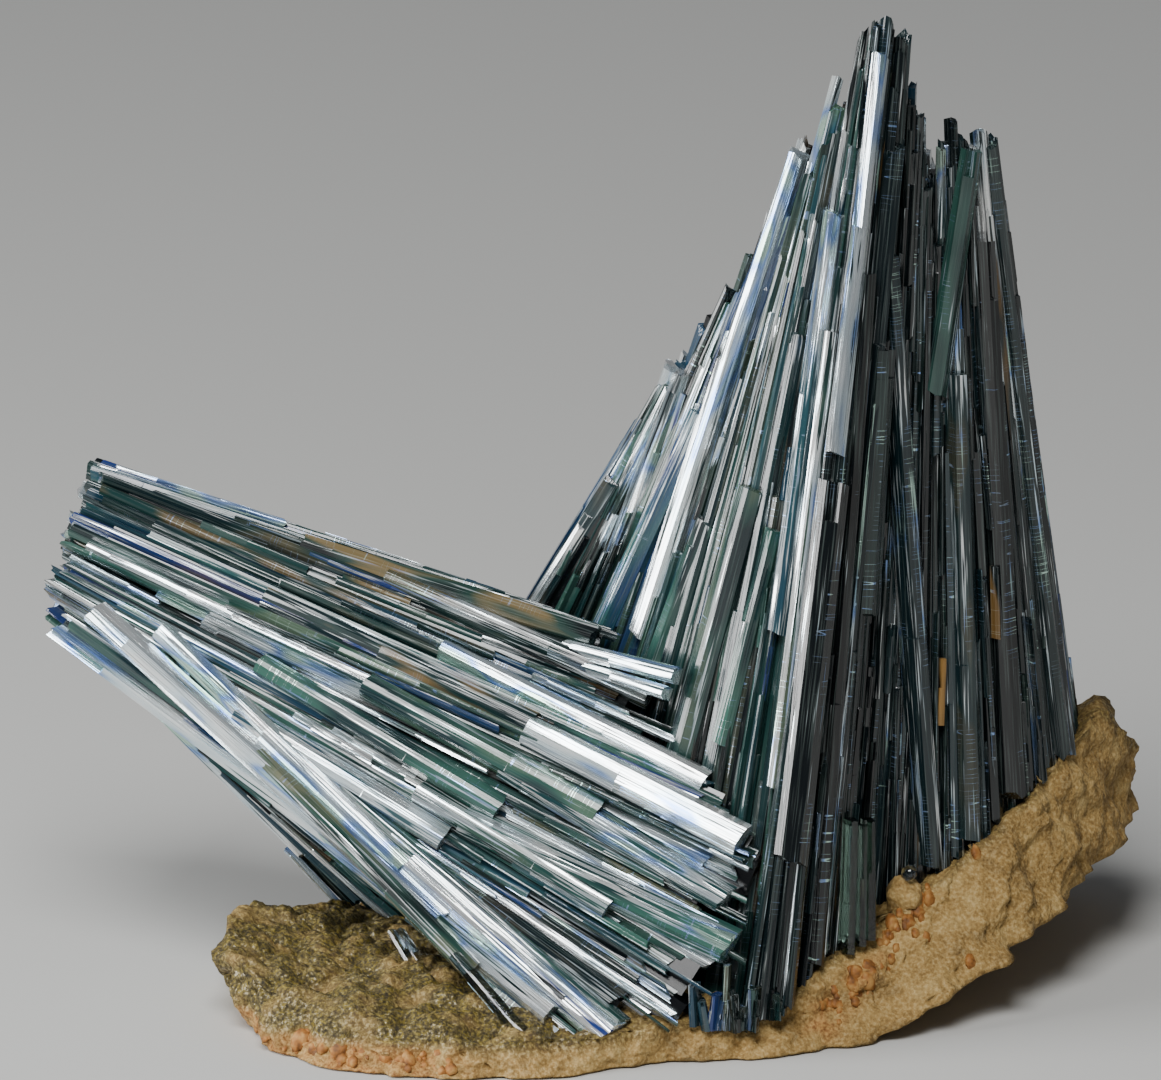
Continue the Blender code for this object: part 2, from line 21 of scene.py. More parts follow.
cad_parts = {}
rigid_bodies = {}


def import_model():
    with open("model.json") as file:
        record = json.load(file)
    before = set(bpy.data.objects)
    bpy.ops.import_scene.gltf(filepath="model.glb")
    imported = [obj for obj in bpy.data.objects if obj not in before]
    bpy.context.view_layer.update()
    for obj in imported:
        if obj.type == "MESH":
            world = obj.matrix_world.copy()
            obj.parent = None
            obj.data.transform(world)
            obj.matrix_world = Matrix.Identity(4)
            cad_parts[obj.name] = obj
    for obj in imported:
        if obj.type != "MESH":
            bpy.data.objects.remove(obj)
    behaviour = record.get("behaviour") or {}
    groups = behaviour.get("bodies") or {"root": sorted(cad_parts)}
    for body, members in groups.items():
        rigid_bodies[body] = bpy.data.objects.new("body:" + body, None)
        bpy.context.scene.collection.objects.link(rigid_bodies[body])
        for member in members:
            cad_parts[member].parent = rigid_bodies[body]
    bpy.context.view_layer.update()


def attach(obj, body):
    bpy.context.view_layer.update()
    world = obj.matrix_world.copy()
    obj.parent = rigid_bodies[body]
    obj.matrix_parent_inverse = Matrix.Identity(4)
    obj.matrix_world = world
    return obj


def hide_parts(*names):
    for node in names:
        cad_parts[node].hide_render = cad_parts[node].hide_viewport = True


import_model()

# %% [markdown]
# ## Units and small helpers
#
# Lengths are in millimetres and MM turns them into metres. The shapes are drawn from the same starting
# point as the solids, and MIDDLE moves them so that the middle of the specimen's box is at x = y = 0.

# %% Units
MM = 0.001
MIDDLE = Vector((-0.1, 3.25, 0.0))


def clamp(value, low, high):
    return min(high, max(low, value))


def smooth(value, low, high):
    share = clamp((value - low) / (high - low), 0.0, 1.0)
    return share * share * (3.0 - 2.0 * share)


def linear(hex_colour):
    """A hex colour as a screen shows it, turned into the linear values that a shader takes."""
    made = []
    for i in (1, 3, 5):
        c = int(hex_colour[i:i + 2], 16) / 255.0
        made.append(c / 12.92 if c <= 0.04045 else ((c + 0.055) / 1.055) ** 2.4)
    return (*made, 1.0)


def link_object(name, data, finish=None):
    obj = bpy.data.objects.new(name, data)
    bpy.context.scene.collection.objects.link(obj)
    if finish:
        data.materials.clear()
        data.materials.append(finish)
    return obj


def mesh_of(name, bm):
    """The plain mesh of an editable one, which is freed."""
    mesh = bpy.data.meshes.new(name)
    bm.to_mesh(mesh)
    bm.free()
    return mesh


def unit_collection(name, meshes):
    """A collection with an object for each mesh, for a tree to pick from."""
    made = bpy.data.collections.new(name)
    bpy.context.scene.collection.children.link(made)
    for mesh in meshes:
        made.objects.link(bpy.data.objects.new(mesh.name, mesh))
    return made


def remove_units(units):
    for unit in list(units.objects):
        bpy.data.objects.remove(unit)
    bpy.data.collections.remove(units)


# %% [markdown]
# ## Guide lines
#
# A spray is a ruled form: each guide line runs from the small tip, where the blades crowd together, to
# the wide foot. A place on a spray is a guide line number, with a fraction between two lines, and the
# share of the way down it. Blades laid along such lines fan out as real ones do.

# %% Guide lines of both sprays
UPRIGHT_GUIDES = (
    ((29.0, -4.0, 101.0), (17.5, -24.0, 1.0)),
    ((26.5, -3.5, 99.5), (9.0, -18.0, 2.0)),
    ((25.0, -2.0, 97.0), (0.0, -9.0, 3.0)),
    ((23.5, 0.0, 93.0), (-8.0, 2.0, 3.5)),
    ((14.0, 3.0, 73.5), (-13.0, 7.0, 9.0)),
    ((2.0, 6.0, 51.5), (-19.0, 12.0, 17.0)),
    ((3.0, 9.0, 53.0), (-13.0, 19.0, 3.0)),
    ((20.0, 5.0, 85.0), (-4.0, 25.0, 2.5)),
    ((26.5, 4.0, 95.0), (10.0, 31.0, 4.0)),
    ((31.0, 3.0, 95.0), (26.0, 33.0, 8.0)),
    ((35.0, 4.0, 84.0), (41.0, 29.0, 18.0)),
    ((39.5, 4.5, 87.0), (48.8, 19.0, 24.0)),
    ((40.0, 1.0, 87.5), (48.6, 8.0, 22.0)),
    ((37.5, -1.5, 90.5), (42.0, -0.5, 17.0)),
    ((34.6, -1.0, 84.0), (35.0, -5.0, 12.0)),
    ((32.3, -2.5, 98.0), (27.5, -5.5, 9.5)),
    ((31.3, -4.0, 101.0), (22.5, -16.5, 5.0)),
)
UPRIGHT_CORES = ((16, 0, 1, 2, 3, 7, 8, 9), (15, 14, 13, 12, 11, 10, 9, 8), (3, 4, 5, 6, 7))
LEANING_GUIDES = (
    ((-49.5, 12.0, 51.0), (1.5, -2.0, 38.0)),
    ((-50.5, 7.0, 50.0), (9.0, -12.0, 27.5)),
    ((-52.3, 4.0, 46.0), (14.5, -19.0, 21.5)),
    ((-54.0, 3.0, 42.0), (14.0, -23.5, 10.0)),
    ((-54.8, 4.5, 38.5), (4.0, -26.5, 2.0)),
    ((-54.6, 8.0, 36.0), (-3.5, -26.0, 2.5)),
    ((-54.2, 11.0, 35.2), (-11.0, 0.0, 5.0)),
    ((-54.0, 14.0, 35.7), (-24.0, 8.0, 5.0)),
    ((-53.5, 18.0, 38.5), (-17.0, 13.0, 9.0)),
    ((-52.0, 20.0, 45.0), (-9.0, 13.0, 28.0)),
    ((-49.8, 17.0, 50.0), (-3.0, 7.0, 36.0)),
)
LEANING_CORES = ((0, 1, 2, 3, 4, 5, 6, 9, 10), (6, 7, 8, 9, 10, 0))


def on_spray(guides, line, down):
    index = math.floor(line)
    share = line - index
    here, there = guides[index % len(guides)], guides[(index + 1) % len(guides)]
    tip = Vector(here[0]).lerp(Vector(there[0]), share)
    foot = Vector(here[1]).lerp(Vector(there[1]), share)
    return tip.lerp(foot, down)


def outward(guides, line, down):
    """The way a spray's side looks at a place, evened out over the corners between guide lines."""
    reach = 0.4
    lengthways = on_spray(guides, line, 1.0) - on_spray(guides, line, 0.0)
    across = on_spray(guides, line + reach, down) - on_spray(guides, line - reach, down)
    return across.cross(lengthways).normalized()


def pitch_at(guides, line, down, reach):
    across = on_spray(guides, line + reach, down) - on_spray(guides, line - reach, down)
    along = (on_spray(guides, line, 1.0) - on_spray(guides, line, 0.0)).normalized()
    return (across - along * across.dot(along)).length


def even_lines(guides, count):
    """Places round a spray, as guide line numbers, the same distance apart near its foot."""
    steps_per_line = 20
    fine = steps_per_line * len(guides)
    reach = 0.5 / steps_per_line
    lengths = [pitch_at(guides, i / steps_per_line, 0.7, reach) for i in range(fine)]
    step = sum(lengths) / count
    lines, walked = [], 0.0
    for i, length in enumerate(lengths):
        walked += length
        if walked >= step * len(lines) and len(lines) < count:
            lines.append(i / steps_per_line)
    return lines


print("guide lines:", len(UPRIGHT_GUIDES), "upright,", len(LEANING_GUIDES), "leaning")

# %% [markdown]
# ## The rock's form
#
# The slab is thin at the front, has a low rim at the left and climbs to the right. Its outline and
# heights come first, because the crystals' feet need to know where the rock's top is.

# %% Heights and outline of the rock
ROCK_OUTLINE = (
    (-34.0, -6.0, -36.8, -6.0),
    (-33.5, -17.0, -36.5, -14.0),
    (-29.0, -26.0, -31.0, -21.0),
    (-18.0, -31.0, -20.0, -27.5),
    (-5.0, -31.0, -6.5, -29.0),
    (6.0, -26.5, 6.0, -25.5),
    (17.0, -24.5, 16.0, -22.5),
    (28.0, -19.5, 24.5, -15.0),
    (36.0, -15.5, 32.0, -9.0),
    (43.0, -8.5, 40.0, -3.5),
    (50.0, 3.5, 46.5, 4.5),
    (54.0, 14.0, 50.8, 12.0),
    (55.0, 24.0, 54.5, 20.0),
    (49.5, 33.0, 49.5, 31.0),
    (36.0, 37.0, 36.0, 36.0),
    (18.0, 37.0, 18.0, 36.0),
    (3.0, 34.0, 3.0, 33.0),
    (-8.0, 27.0, -8.0, 26.0),
    (-17.0, 17.0, -17.5, 16.5),
    (-25.0, 8.5, -26.0, 8.0),
    (-34.0, 3.5, -35.5, 3.5),
)
ROCK_CENTRE = Vector((8.0, 2.0, 0.0))
FRONT_LIP, LEFT_TOP = 2.7, 5.0
LUMP_PITCH, LUMP_HEIGHT = 3.4, 1.2
RISE_START, RISE_SLOPE, RISE_CURVE = 17.0, 0.40, 0.0060
UNDERCUT_START, UNDERCUT_SLOPE = 28.0, 0.45


def rock_top(x, y):
    inward = smooth(y, -31.0, -16.0) * (1.0 - smooth(x, 6.0, 18.0))
    level = FRONT_LIP + (LEFT_TOP - FRONT_LIP) * inward
    level += 1.6 * smooth(x, 2.0, 17.0) * smooth(y, -27.0, -16.0)  # under the upright spray
    level += 1.4 * (1.0 - smooth(x, -36.5, -29.0)) * smooth(y, -24.0, -12.0)  # rim at the left
    level -= 2.0 * smooth(y, 6.0, 16.0) * (1.0 - smooth(x, -10.0, 4.0))  # lower at the back left
    climb = max(0.0, x - RISE_START)
    level += (RISE_SLOPE * climb + RISE_CURVE * climb * climb) * (1.0 - 0.2 * smooth(y, 14.0, 36.0))
    level -= 8.0 * smooth(x, 51.0, 55.5)  # worn off at the right end
    return level


def rock_bottom(x):
    return UNDERCUT_SLOPE * max(0.0, x - UNDERCUT_START)


def rough(x, y, z, size, height):
    return height * noise.noise(Vector((x, y, z)) / size)


def rock_edge(stations):
    """Points along a smooth closed curve through the outline's own points."""
    total = len(ROCK_OUTLINE)
    made = []
    for i in range(stations):
        place = i * total / stations
        k, t = int(place), place - int(place)
        a, b, c, d = (Vector(ROCK_OUTLINE[(k + n) % total]) for n in (-1, 0, 1, 2))
        curve = 2.0 * b + (c - a) * t + (2.0 * a - 5.0 * b + 4.0 * c - d) * t * t
        made.append(0.5 * (curve + (3.0 * b - a - 3.0 * c + d) * t**3))
    return made


print("points of the rock's outline:", len(ROCK_OUTLINE))

# %% [markdown]
# ## Where a blade ends
#
# A blade that comes down on the rock is rooted a little way into it. A blade of the leaning spray stops
# where it meets the upright spray. Both are found by walking along the blade.

# %% Ends on the rock and on the other spray
ROOT = 0.5
WALK = 60


def slice_of(guides, z):
    """The outline of a spray at one height."""
    outline = []
    for tip, foot in guides:
        down = (tip[2] - z) / (tip[2] - foot[2])
        spot = Vector(tip).lerp(Vector(foot), down)
        outline.append((spot.x, spot.y))
    return outline


def inside_upright(point):
    outline = slice_of(UPRIGHT_GUIDES, point.z)
    inside = False
    for (ax, ay), (bx, by) in zip(outline, outline[1:] + outline[:1]):
        if (ay > point.y) != (by > point.y):
            if point.x < ax + (bx - ax) * (point.y - ay) / (by - ay):
                inside = not inside
    return inside


def walk_down(tip, foot, stops):
    """The foot, or the last place before it that none of the stops objects to."""
    for step in range(1, WALK + 1):
        spot = tip.lerp(foot, step / WALK)
        if any(stop(spot) for stop in stops):
            return tip.lerp(foot, (step - 1) / WALK)
    return foot


def in_rock(point):
    return point.z < rock_top(point.x, point.y) - ROOT


# %% [markdown]
# ## One blade, many times
#
# Seen close up, a vivianite blade is a bundle of flat strips. They lie a few degrees apart, so one
# flashes white while its neighbour stays black, and some break off short and leave a ledge. Three sorts
# of such blades are made here, each two units wide, two deep and one long: long ones that widen on
# their way down, straight smooth ones and splintered ones. Geometry nodes then set hundreds of them in
# place, stretched to their own width, depth and length.

# %% The unit blades
BLADE_RINGS = (0.0, 0.10, 0.24, 0.43, 0.62, 0.81, 1.0)
LONG, SMOOTH, SPLINTERED = (0, 1, 2), (3, 4, 5), (6, 7, 8)
UNIT_SEED = 40
EDGE_DROP = 0.75  # how far the face falls off towards its two edges
LEDGE_DROP = 0.5


def unit_blade(name, seed, strips, uneven, ledges, tip_share):
    """A blade along z from 0 to 1, its face towards +y, tip_share as wide at 0 as it is at 1."""
    draw = random.Random(seed)
    edges = [-1.0 + 2.0 * i / strips for i in range(strips + 1)]
    edges = [edges[0]] + [x + draw.uniform(-0.4, 0.4) / strips for x in edges[1:-1]] + [edges[-1]]
    crown = [0.95 - EDGE_DROP * abs(x) ** 4 + draw.uniform(-uneven, uneven) for x in edges]
    short = draw.sample(range(strips + 1), ledges)
    breaks = [draw.choice(BLADE_RINGS[1:5]) for _ in short]
    tilt = (draw.uniform(-0.014, 0.014), draw.uniform(-0.006, 0.006))
    rings = []
    for z in BLADE_RINGS:
        spread = tip_share + (1.0 - tip_share) * z
        at_end = z in (0.0, 1.0)
        for side, place in enumerate((z - 0.002, z + 0.002) if z in breaks else (z,)):
            ring = []
            for k, x in enumerate(edges):
                height = crown[k] + draw.uniform(-0.3, 0.3) * uneven
                for which, broken in zip(short, breaks):
                    if which == k and (z < broken or (z == broken and side == 0)):
                        height -= LEDGE_DROP
                jag = tilt[0] * x + tilt[1] * height + draw.uniform(-0.005, 0.005)
                ring.append(Vector((x * spread, height, place + (jag if at_end else 0.0))))
            ring.append(Vector((0.92 * spread, -1.0, place)))
            ring.append(Vector((-0.92 * spread, -1.0, place)))
            rings.append(ring)
    bm = bmesh.new()
    made = [[bm.verts.new(p) for p in ring] for ring in rings]
    count = len(made[0])
    for low, high in zip(made, made[1:]):
        for i in range(count):
            j = (i + 1) % count
            bm.faces.new((low[i], low[j], high[j], high[i]))
    bm.faces.new(made[0])
    bm.faces.new(made[-1])
    bmesh.ops.recalc_face_normals(bm, faces=bm.faces)
    mesh = mesh_of(name, bm)
    grain = mesh.attributes.new("grain", "FLOAT_VECTOR", "POINT")
    grain.data.foreach_set("vector", [c for v in mesh.vertices for c in v.co])
    return mesh


SORTS = ((LONG, 4, 0.10, 1, 0.45), (SMOOTH, 4, 0.07, 1, 0.85), (SPLINTERED, 6, 0.20, 3, 0.80))
unit_blades = unit_collection("unit_blades", [
    unit_blade(f"unit_blade_{number:02d}", UNIT_SEED + number, strips, uneven, ledges, tip_share)
    for numbers, strips, uneven, ledges, tip_share in SORTS
    for number in numbers
])

# %% [markdown]
# ## The tree that sets the blades in place
#
# Each point of a cloud is the upper end of one blade. It carries the way the blade runs, the way its
# broad face looks, its half width, half depth and length, and the number of its unit blade. The tree
# turns that blade with Axes to Rotation, rolls it a little and scales it. The point's other values,
# such as how pearly or how green the blade is, ride along and are read by the material.

# %% Node helpers and the blade tree


def add(tree, kind, inputs=None, **settings):
    """Adds a node, sets its properties, and fills or links its inputs."""
    node = tree.nodes.new(kind)
    for key, value in settings.items():
        setattr(node, key, value)
    for key, value in (inputs or {}).items():
        socket = node.inputs[key]
        if isinstance(value, bpy.types.NodeSocket):
            tree.links.new(value, socket)
        else:
            socket.default_value = value
    return node


def math_of(tree, operation, *values):
    return add(tree, "ShaderNodeMath", dict(enumerate(values)), operation=operation).outputs[0]


def vector_of(tree, operation, a, b):
    return add(tree, "ShaderNodeVectorMath", {0: a, 1: b}, operation=operation).outputs[0]


def scaled(tree, vector, by):
    made = add(tree, "ShaderNodeVectorMath", {0: vector, "Scale": by}, operation="SCALE")
    return made.outputs[0]


def new_tree(name, sizes):
    """An empty geometry tree that takes a geometry, a collection, a seed and these named sizes."""
    tree = bpy.data.node_groups.new(name, "GeometryNodeTree")
    face = tree.interface
    face.new_socket("Geometry", in_out="INPUT", socket_type="NodeSocketGeometry")
    face.new_socket("Units", in_out="INPUT", socket_type="NodeSocketCollection")
    face.new_socket("Seed", in_out="INPUT", socket_type="NodeSocketInt")
    for size in sizes:
        face.new_socket(size, in_out="INPUT", socket_type="NodeSocketFloat")
    face.new_socket("Geometry", in_out="OUTPUT", socket_type="NodeSocketGeometry")
    return tree, add(tree, "NodeGroupInput")


def finish_tree(tree, given, rotation, scale, finish):
    """Puts the picked units on the points and ends in real, dressed geometry."""
    units = add(
        tree, "GeometryNodeCollectionInfo",
        {"Collection": given.outputs["Units"], "Separate Children": True, "Reset Children": True},
    )
    placed = add(
        tree, "GeometryNodeInstanceOnPoints",
        {
            "Points": given.outputs["Geometry"],
            "Instance": units.outputs["Instances"],
            "Pick Instance": True,
            "Instance Index": named(tree, "unit", "INT"),
            "Rotation": rotation,
            "Scale": scale,
        },
    )
    real = add(tree, "GeometryNodeRealizeInstances", {"Geometry": placed.outputs["Instances"]})
    dressed = add(tree, "GeometryNodeSetMaterial", {"Geometry": real.outputs["Geometry"], "Material": finish})
    add(tree, "NodeGroupOutput", {"Geometry": dressed.outputs["Geometry"]})
    return tree


def named(tree, name, kind="FLOAT_VECTOR"):
    return add(tree, "GeometryNodeInputNamedAttribute", {"Name": name}, data_type=kind).outputs["Attribute"]


def blade_tree(finish):
    tree, given = new_tree("blades_on_points", ("Width", "Depth", "Roll"))
    turn = add(
        tree, "FunctionNodeAxesToRotation",
        {"Primary Axis": named(tree, "along"), "Secondary Axis": named(tree, "looks")},
        primary_axis="Z", secondary_axis="Y",
    )
    least = math_of(tree, "MULTIPLY", given.outputs["Roll"], -1.0)
    roll = add(
        tree, "FunctionNodeRandomValue",
        {"Min": least, "Max": given.outputs["Roll"], "Seed": given.outputs["Seed"]},
        data_type="FLOAT",
    )
    small_turn = add(
        tree, "FunctionNodeAxisAngleToRotation", {"Axis": (0.0, 0.0, 1.0), "Angle": roll.outputs["Value"]}
    )
    rolled = add(
        tree, "FunctionNodeRotateRotation",
        {"Rotation": turn.outputs[0], "Rotate By": small_turn.outputs[0]},
        rotation_space="LOCAL",
    )
    stretch = add(
        tree, "ShaderNodeCombineXYZ", {"X": given.outputs["Width"], "Y": given.outputs["Depth"], "Z": 1.0}
    )
    size = vector_of(tree, "MULTIPLY", named(tree, "half"), stretch.outputs[0])
    return finish_tree(tree, given, rolled.outputs[0], size, finish)


def set_inputs(modifier, tree, values):
    for item in tree.interface.items_tree:
        if item.item_type == "SOCKET" and item.in_out == "INPUT" and item.name in values:
            modifier[item.identifier] = values[item.name]


def run_tree(cloud, tree, values):
    """The plain mesh that a tree makes from a cloud of points; the cloud is removed."""
    modifier = cloud.modifiers.new("tree", "NODES")
    modifier.node_group = tree
    set_inputs(modifier, tree, values)
    graph = bpy.context.evaluated_depsgraph_get()
    mesh = bpy.data.meshes.new_from_object(cloud.evaluated_get(graph))
    bpy.data.objects.remove(cloud)
    return mesh


# %% [markdown]
# ## Plans for the blades
#
# Every outer blade of the solids is followed exactly, so the outlines agree, and is broken up into
# thinner ones: two or three that run its whole length and a few that start lower down, as new blades do
# when a spray widens. Over them lie short splinters. A plan is a plain record of one blade.

# %% Blade plans
HALF_WIDTH_RANGE = (0.75, 3.0)
HALF_DEPTH_RANGE = (0.9, 1.5)
RAISED_RANGE = (-0.7, 0.8)
UPRIGHT_BLADES, UPRIGHT_SEED = 50, 7
LEANING_BLADES, LEANING_SEED = 34, 3


class Plan:
    """One blade: upper end, lower end, the way its face looks, half width, half depth, unit, traits."""

    def __init__(self, tip, foot, looks, half_width, half_depth, unit, traits, tint):
        self.tip, self.foot, self.looks = tip, foot, looks
        self.half_width, self.half_depth, self.unit = half_width, half_depth, unit
        self.pearl, self.green, self.stain, self.fade = traits if len(traits) == 4 else (*traits, 0.0)
        self.tint = tint


def outer_blades(guides, count, seed, latest_start, stop_range):
    """The outer blades of the solids, drawn with the same chances: tip, foot, looks, half sizes, line."""
    draw = random.Random(seed)
    made = []
    lines = even_lines(guides, count)
    for i, line in enumerate(lines):
        reach = 0.5 * ((lines[(i + 1) % count] - line) % len(guides))
        line += draw.uniform(-0.3, 0.3) * reach
        start = draw.choice((0.0, 0.0, 0.4, 1.0)) * draw.uniform(0.2, 1.0) * latest_start
        stop = draw.uniform(*stop_range)
        looks = outward(guides, line, 0.6)
        raised = draw.uniform(*RAISED_RANGE)
        halves = []
        for down in (start, stop):
            wide = clamp(pitch_at(guides, line, down, reach) * draw.uniform(0.55, 0.8), *HALF_WIDTH_RANGE)
            halves.append((wide, clamp(wide * draw.uniform(0.7, 0.9), *HALF_DEPTH_RANGE)))
        tip = on_spray(guides, line, start) + looks * (raised - halves[0][1])
        foot = on_spray(guides, line, stop) + looks * (raised - halves[1][1])
        along = (foot - tip).normalized()
        looks = (looks + along.cross(looks) * draw.uniform(-0.3, 0.3)).normalized()
        draw.uniform(-0.7, 0.7)  # the solids draw two slants here
        draw.uniform(-0.3, 0.3)
        made.append((tip, foot, looks, halves, line))
    return made


def break_up(tip, foot, looks, halves, draw):
    """Thinner blades in the place of one: (tip, foot, looks, half width, half depth, unit, share down)."""
    along = (foot - tip).normalized()
    out = (looks - along * looks.dot(along)).normalized()
    side = along.cross(out)
    (tip_wide, tip_deep), (foot_wide, foot_deep) = halves
    made = []
    even = tip_wide > 0.6 * foot_wide
    places = (-0.66, 0.0, 0.66) if foot_wide > 2.0 else (-0.5, 0.5)
    for u in places:
        u += draw.uniform(-0.08, 0.08)
        start = tip.lerp(foot, draw.choice((0.0, 0.0, 0.03, 0.08)) * draw.random()) + side * tip_wide * u
        stop = foot + side * foot_wide * u
        lift = out * draw.uniform(-0.3, 0.1)
        facing = (out + side * draw.gauss(0.0, 0.10)).normalized()
        wide = clamp(foot_wide * 1.15 / len(places), 0.6, 1.7)
        unit = draw.choice(SMOOTH if even else LONG)
        made.append((start + lift, stop + lift, facing, wide, tip_deep * 0.9, unit, 0.5))
    for _ in range(draw.choice((2, 3, 3))):
        u = draw.uniform(-0.95, 0.95)
        late = draw.uniform(0.06, 0.6)
        wide_here = tip_wide + (foot_wide - tip_wide) * late
        start = tip.lerp(foot, late) + side * wide_here * u
        stop = foot.lerp(tip, draw.choice((0.0, 0.0, 0.1, 0.25)) * draw.random())
        stop += side * (foot_wide * clamp(u * 1.15, -1.0, 1.0) + draw.gauss(0.0, 0.6))
        lift = out * draw.uniform(-0.3, 0.35)
        facing = (out + side * draw.gauss(0.0, 0.12)).normalized()
        wide = draw.uniform(0.4, 1.0) * clamp(foot_wide * 0.5, 0.6, 1.3)
        unit = draw.choice(SMOOTH + SMOOTH + SPLINTERED)
        made.append((start + lift, stop + lift, facing, wide, min(foot_deep, wide), unit, 0.4 + 0.6 * late))
    return made


def splinters(guides, lines, seed, sizes, widths, latest):
    """Short thin blades that lie on a spray's side, one at each line, some standing up a little."""
    draw = random.Random(seed)
    made = []
    for line in lines:
        line += draw.uniform(-0.2, 0.2)
        start = latest * math.sqrt(draw.random())
        whole = (on_spray(guides, line, 1.0) - on_spray(guides, line, 0.0)).length
        stop = min(1.02, start + draw.uniform(*sizes) / whole)
        looks = outward(guides, line, start)
        lift = looks * draw.uniform(-0.35, 0.30)
        tip = on_spray(guides, line, start) + lift
        foot = on_spray(guides, line + draw.gauss(0.0, 0.03), stop) + lift - looks * draw.uniform(0.0, 0.3)
        side = (foot - tip).normalized().cross(looks)
        looks = (looks + side * draw.gauss(0.0, 0.16)).normalized()
        wide = draw.uniform(*widths)
        made.append((tip, foot, looks, wide, draw.uniform(0.3, 0.5), draw.choice(SPLINTERED), line, start))
    return made


# %% [markdown]
# ## Blades that catch the eye
#
# Some blades are big or bright enough to be known one by one: the flat teal one that hangs over the
# leaning spray, the long pearly one on the lit flank, the dark columns of the ridge, their darkness partly
# painted shade, the green ones that glow where light goes through, that glow painted as a green tint,
# and the white ones of the leaning spray.

# %% Single blades
# guide line and share down at the upper end and at the lower end, half width, how far raised, and
# (pearl, green, stain), with fade as a fourth value where the pearl fades out on the way down as painted
# shade
UPRIGHT_SINGLES = (
    (1.40, 0.46, 1.62, 0.80, 1.8, 1.3, (0.15, 0.6, 0.1)),
    (0.90, 0.50, 1.12, 0.72, 1.1, 0.7, (0.00, 1.0, 0.0)),
    (0.75, 0.18, 0.55, 0.60, 1.2, 0.9, (0.90, 0.2, 0.0, 0.5)),
    (-0.07, 0.03, -0.05, 0.42, 1.0, 0.8, (0.80, 0.0, 0.0)),
    (-0.10, 0.45, -0.05, 0.82, 1.9, 1.0, (0.15, 0.0, 0.0)),
    (-0.10, 0.66, -0.20, 0.96, 1.3, 0.5, (0.10, 0.0, 0.0)),
    (-0.45, 0.25, -0.90, 0.97, 1.3, 0.6, (0.00, 0.0, 0.0)),
    (-1.30, 0.34, -1.45, 0.63, 1.6, 1.0, (0.00, 0.1, 0.0)),
    (-1.35, 0.24, -2.93, 0.97, 1.3, 0.4, (0.30, 0.0, 0.0)),
    (-3.45, 0.31, -3.45, 0.97, 1.5, 0.9, (0.25, 0.1, 0.1)),
    (-4.30, 0.17, -4.10, 0.97, 1.3, 0.8, (0.00, 0.0, 0.0)),
    (-4.10, 0.04, -2.90, 0.31, 1.3, 0.9, (0.20, 0.6, 0.0)),
    (3.20, 0.03, 2.75, 0.63, 1.3, 0.9, (0.90, 0.1, 0.0)),
    (3.12, 0.36, 3.43, 0.63, 1.3, 0.9, (0.25, 0.7, 0.0)),
    (2.20, 0.50, 2.45, 0.78, 1.3, 0.6, (0.30, 0.9, 0.0)),
    (0.30, 0.30, 0.25, 0.75, 1.2, 0.6, (0.35, 0.4, 0.1)),
    (-3.05, 0.68, -3.00, 0.77, 0.6, 0.3, (0.00, 0.0, 1.0)),
)
LEANING_SINGLES = (
    (3.80, 0.36, 4.95, 0.84, 1.1, 1.4, (0.20, 0.9, 0.3)),
    (3.78, 0.57, 4.10, 0.98, 1.9, 0.9, (0.75, 0.1, 0.0)),
    (3.10, 0.55, 3.13, 0.84, 1.5, 1.0, (0.50, 0.5, 0.1)),
    (3.10, 0.62, 2.90, 1.00, 2.0, 0.9, (0.50, 0.8, 0.0)),
    (1.78, 0.70, 2.02, 1.01, 1.8, 1.0, (1.00, 0.0, 0.0)),
    (1.00, 0.60, 1.25, 1.02, 1.5, 0.8, (0.85, 0.0, 0.0)),
    (0.30, 0.55, 0.47, 1.02, 1.3, 0.8, (0.40, 0.3, 0.2)),
    (0.20, 0.40, 0.10, 0.97, 1.3, 0.6, (0.15, 0.6, 0.5)),
    (3.25, 0.07, 4.50, 0.72, 1.7, 0.8, (1.00, 0.1, 0.0)),
    (2.88, 0.16, 3.90, 0.61, 1.3, 0.9, (0.85, 0.3, 0.0)),
    (2.20, 0.45, 2.35, 0.80, 1.6, 0.8, (0.20, 1.0, 0.1)),
    (2.60, 0.30, 2.80, 0.66, 1.5, 0.8, (0.25, 0.9, 0.0)),
    (1.50, 0.30, 1.60, 0.72, 1.4, 0.7, (0.30, 0.3, 0.5)),
    (3.45, 0.30, 3.40, 0.62, 1.4, 0.8, (0.70, 0.5, 0.0)),
    (3.60, 0.45, 3.95, 0.97, 1.5, 0.6, (0.30, 0.5, 0.0)),
    (2.35, 0.66, 2.55, 0.99, 1.6, 0.7, (0.55, 0.2, 0.0)),
)
SINGLE_LIFT = 0.45  # keeps them clear of the splinters round them
print("single blades:", len(UPRIGHT_SINGLES), "upright,", len(LEANING_SINGLES), "leaning")


def single_plans(guides, rows, seed):
    draw = random.Random(seed)
    plans = []
    for up, share_up, low, share_low, half, raised, traits in rows:
        looks = outward(guides, 0.5 * (up + low), 0.5 * (share_up + share_low))
        depth = clamp(half, *HALF_DEPTH_RANGE)
        lift = looks * (raised + SINGLE_LIFT - depth)
        tip = on_spray(guides, up, share_up) + lift
        foot = on_spray(guides, low, share_low) + lift
        unit = draw.choice(SMOOTH)
        tint = draw.random() * deepest(guides, up)
        plans.append(Plan(tip, foot, looks, half, depth, unit, traits, tint))
    return plans


def drawn(draw, middle, spread):
    return clamp(draw.gauss(middle, spread), 0.0, 1.0)


def pearly(draw, chance):
    """White or dark: this share of the blades is pearly, the others hardly so."""
    return draw.uniform(0.6, 1.0) if draw.random() < chance else draw.uniform(0.0, 0.3)


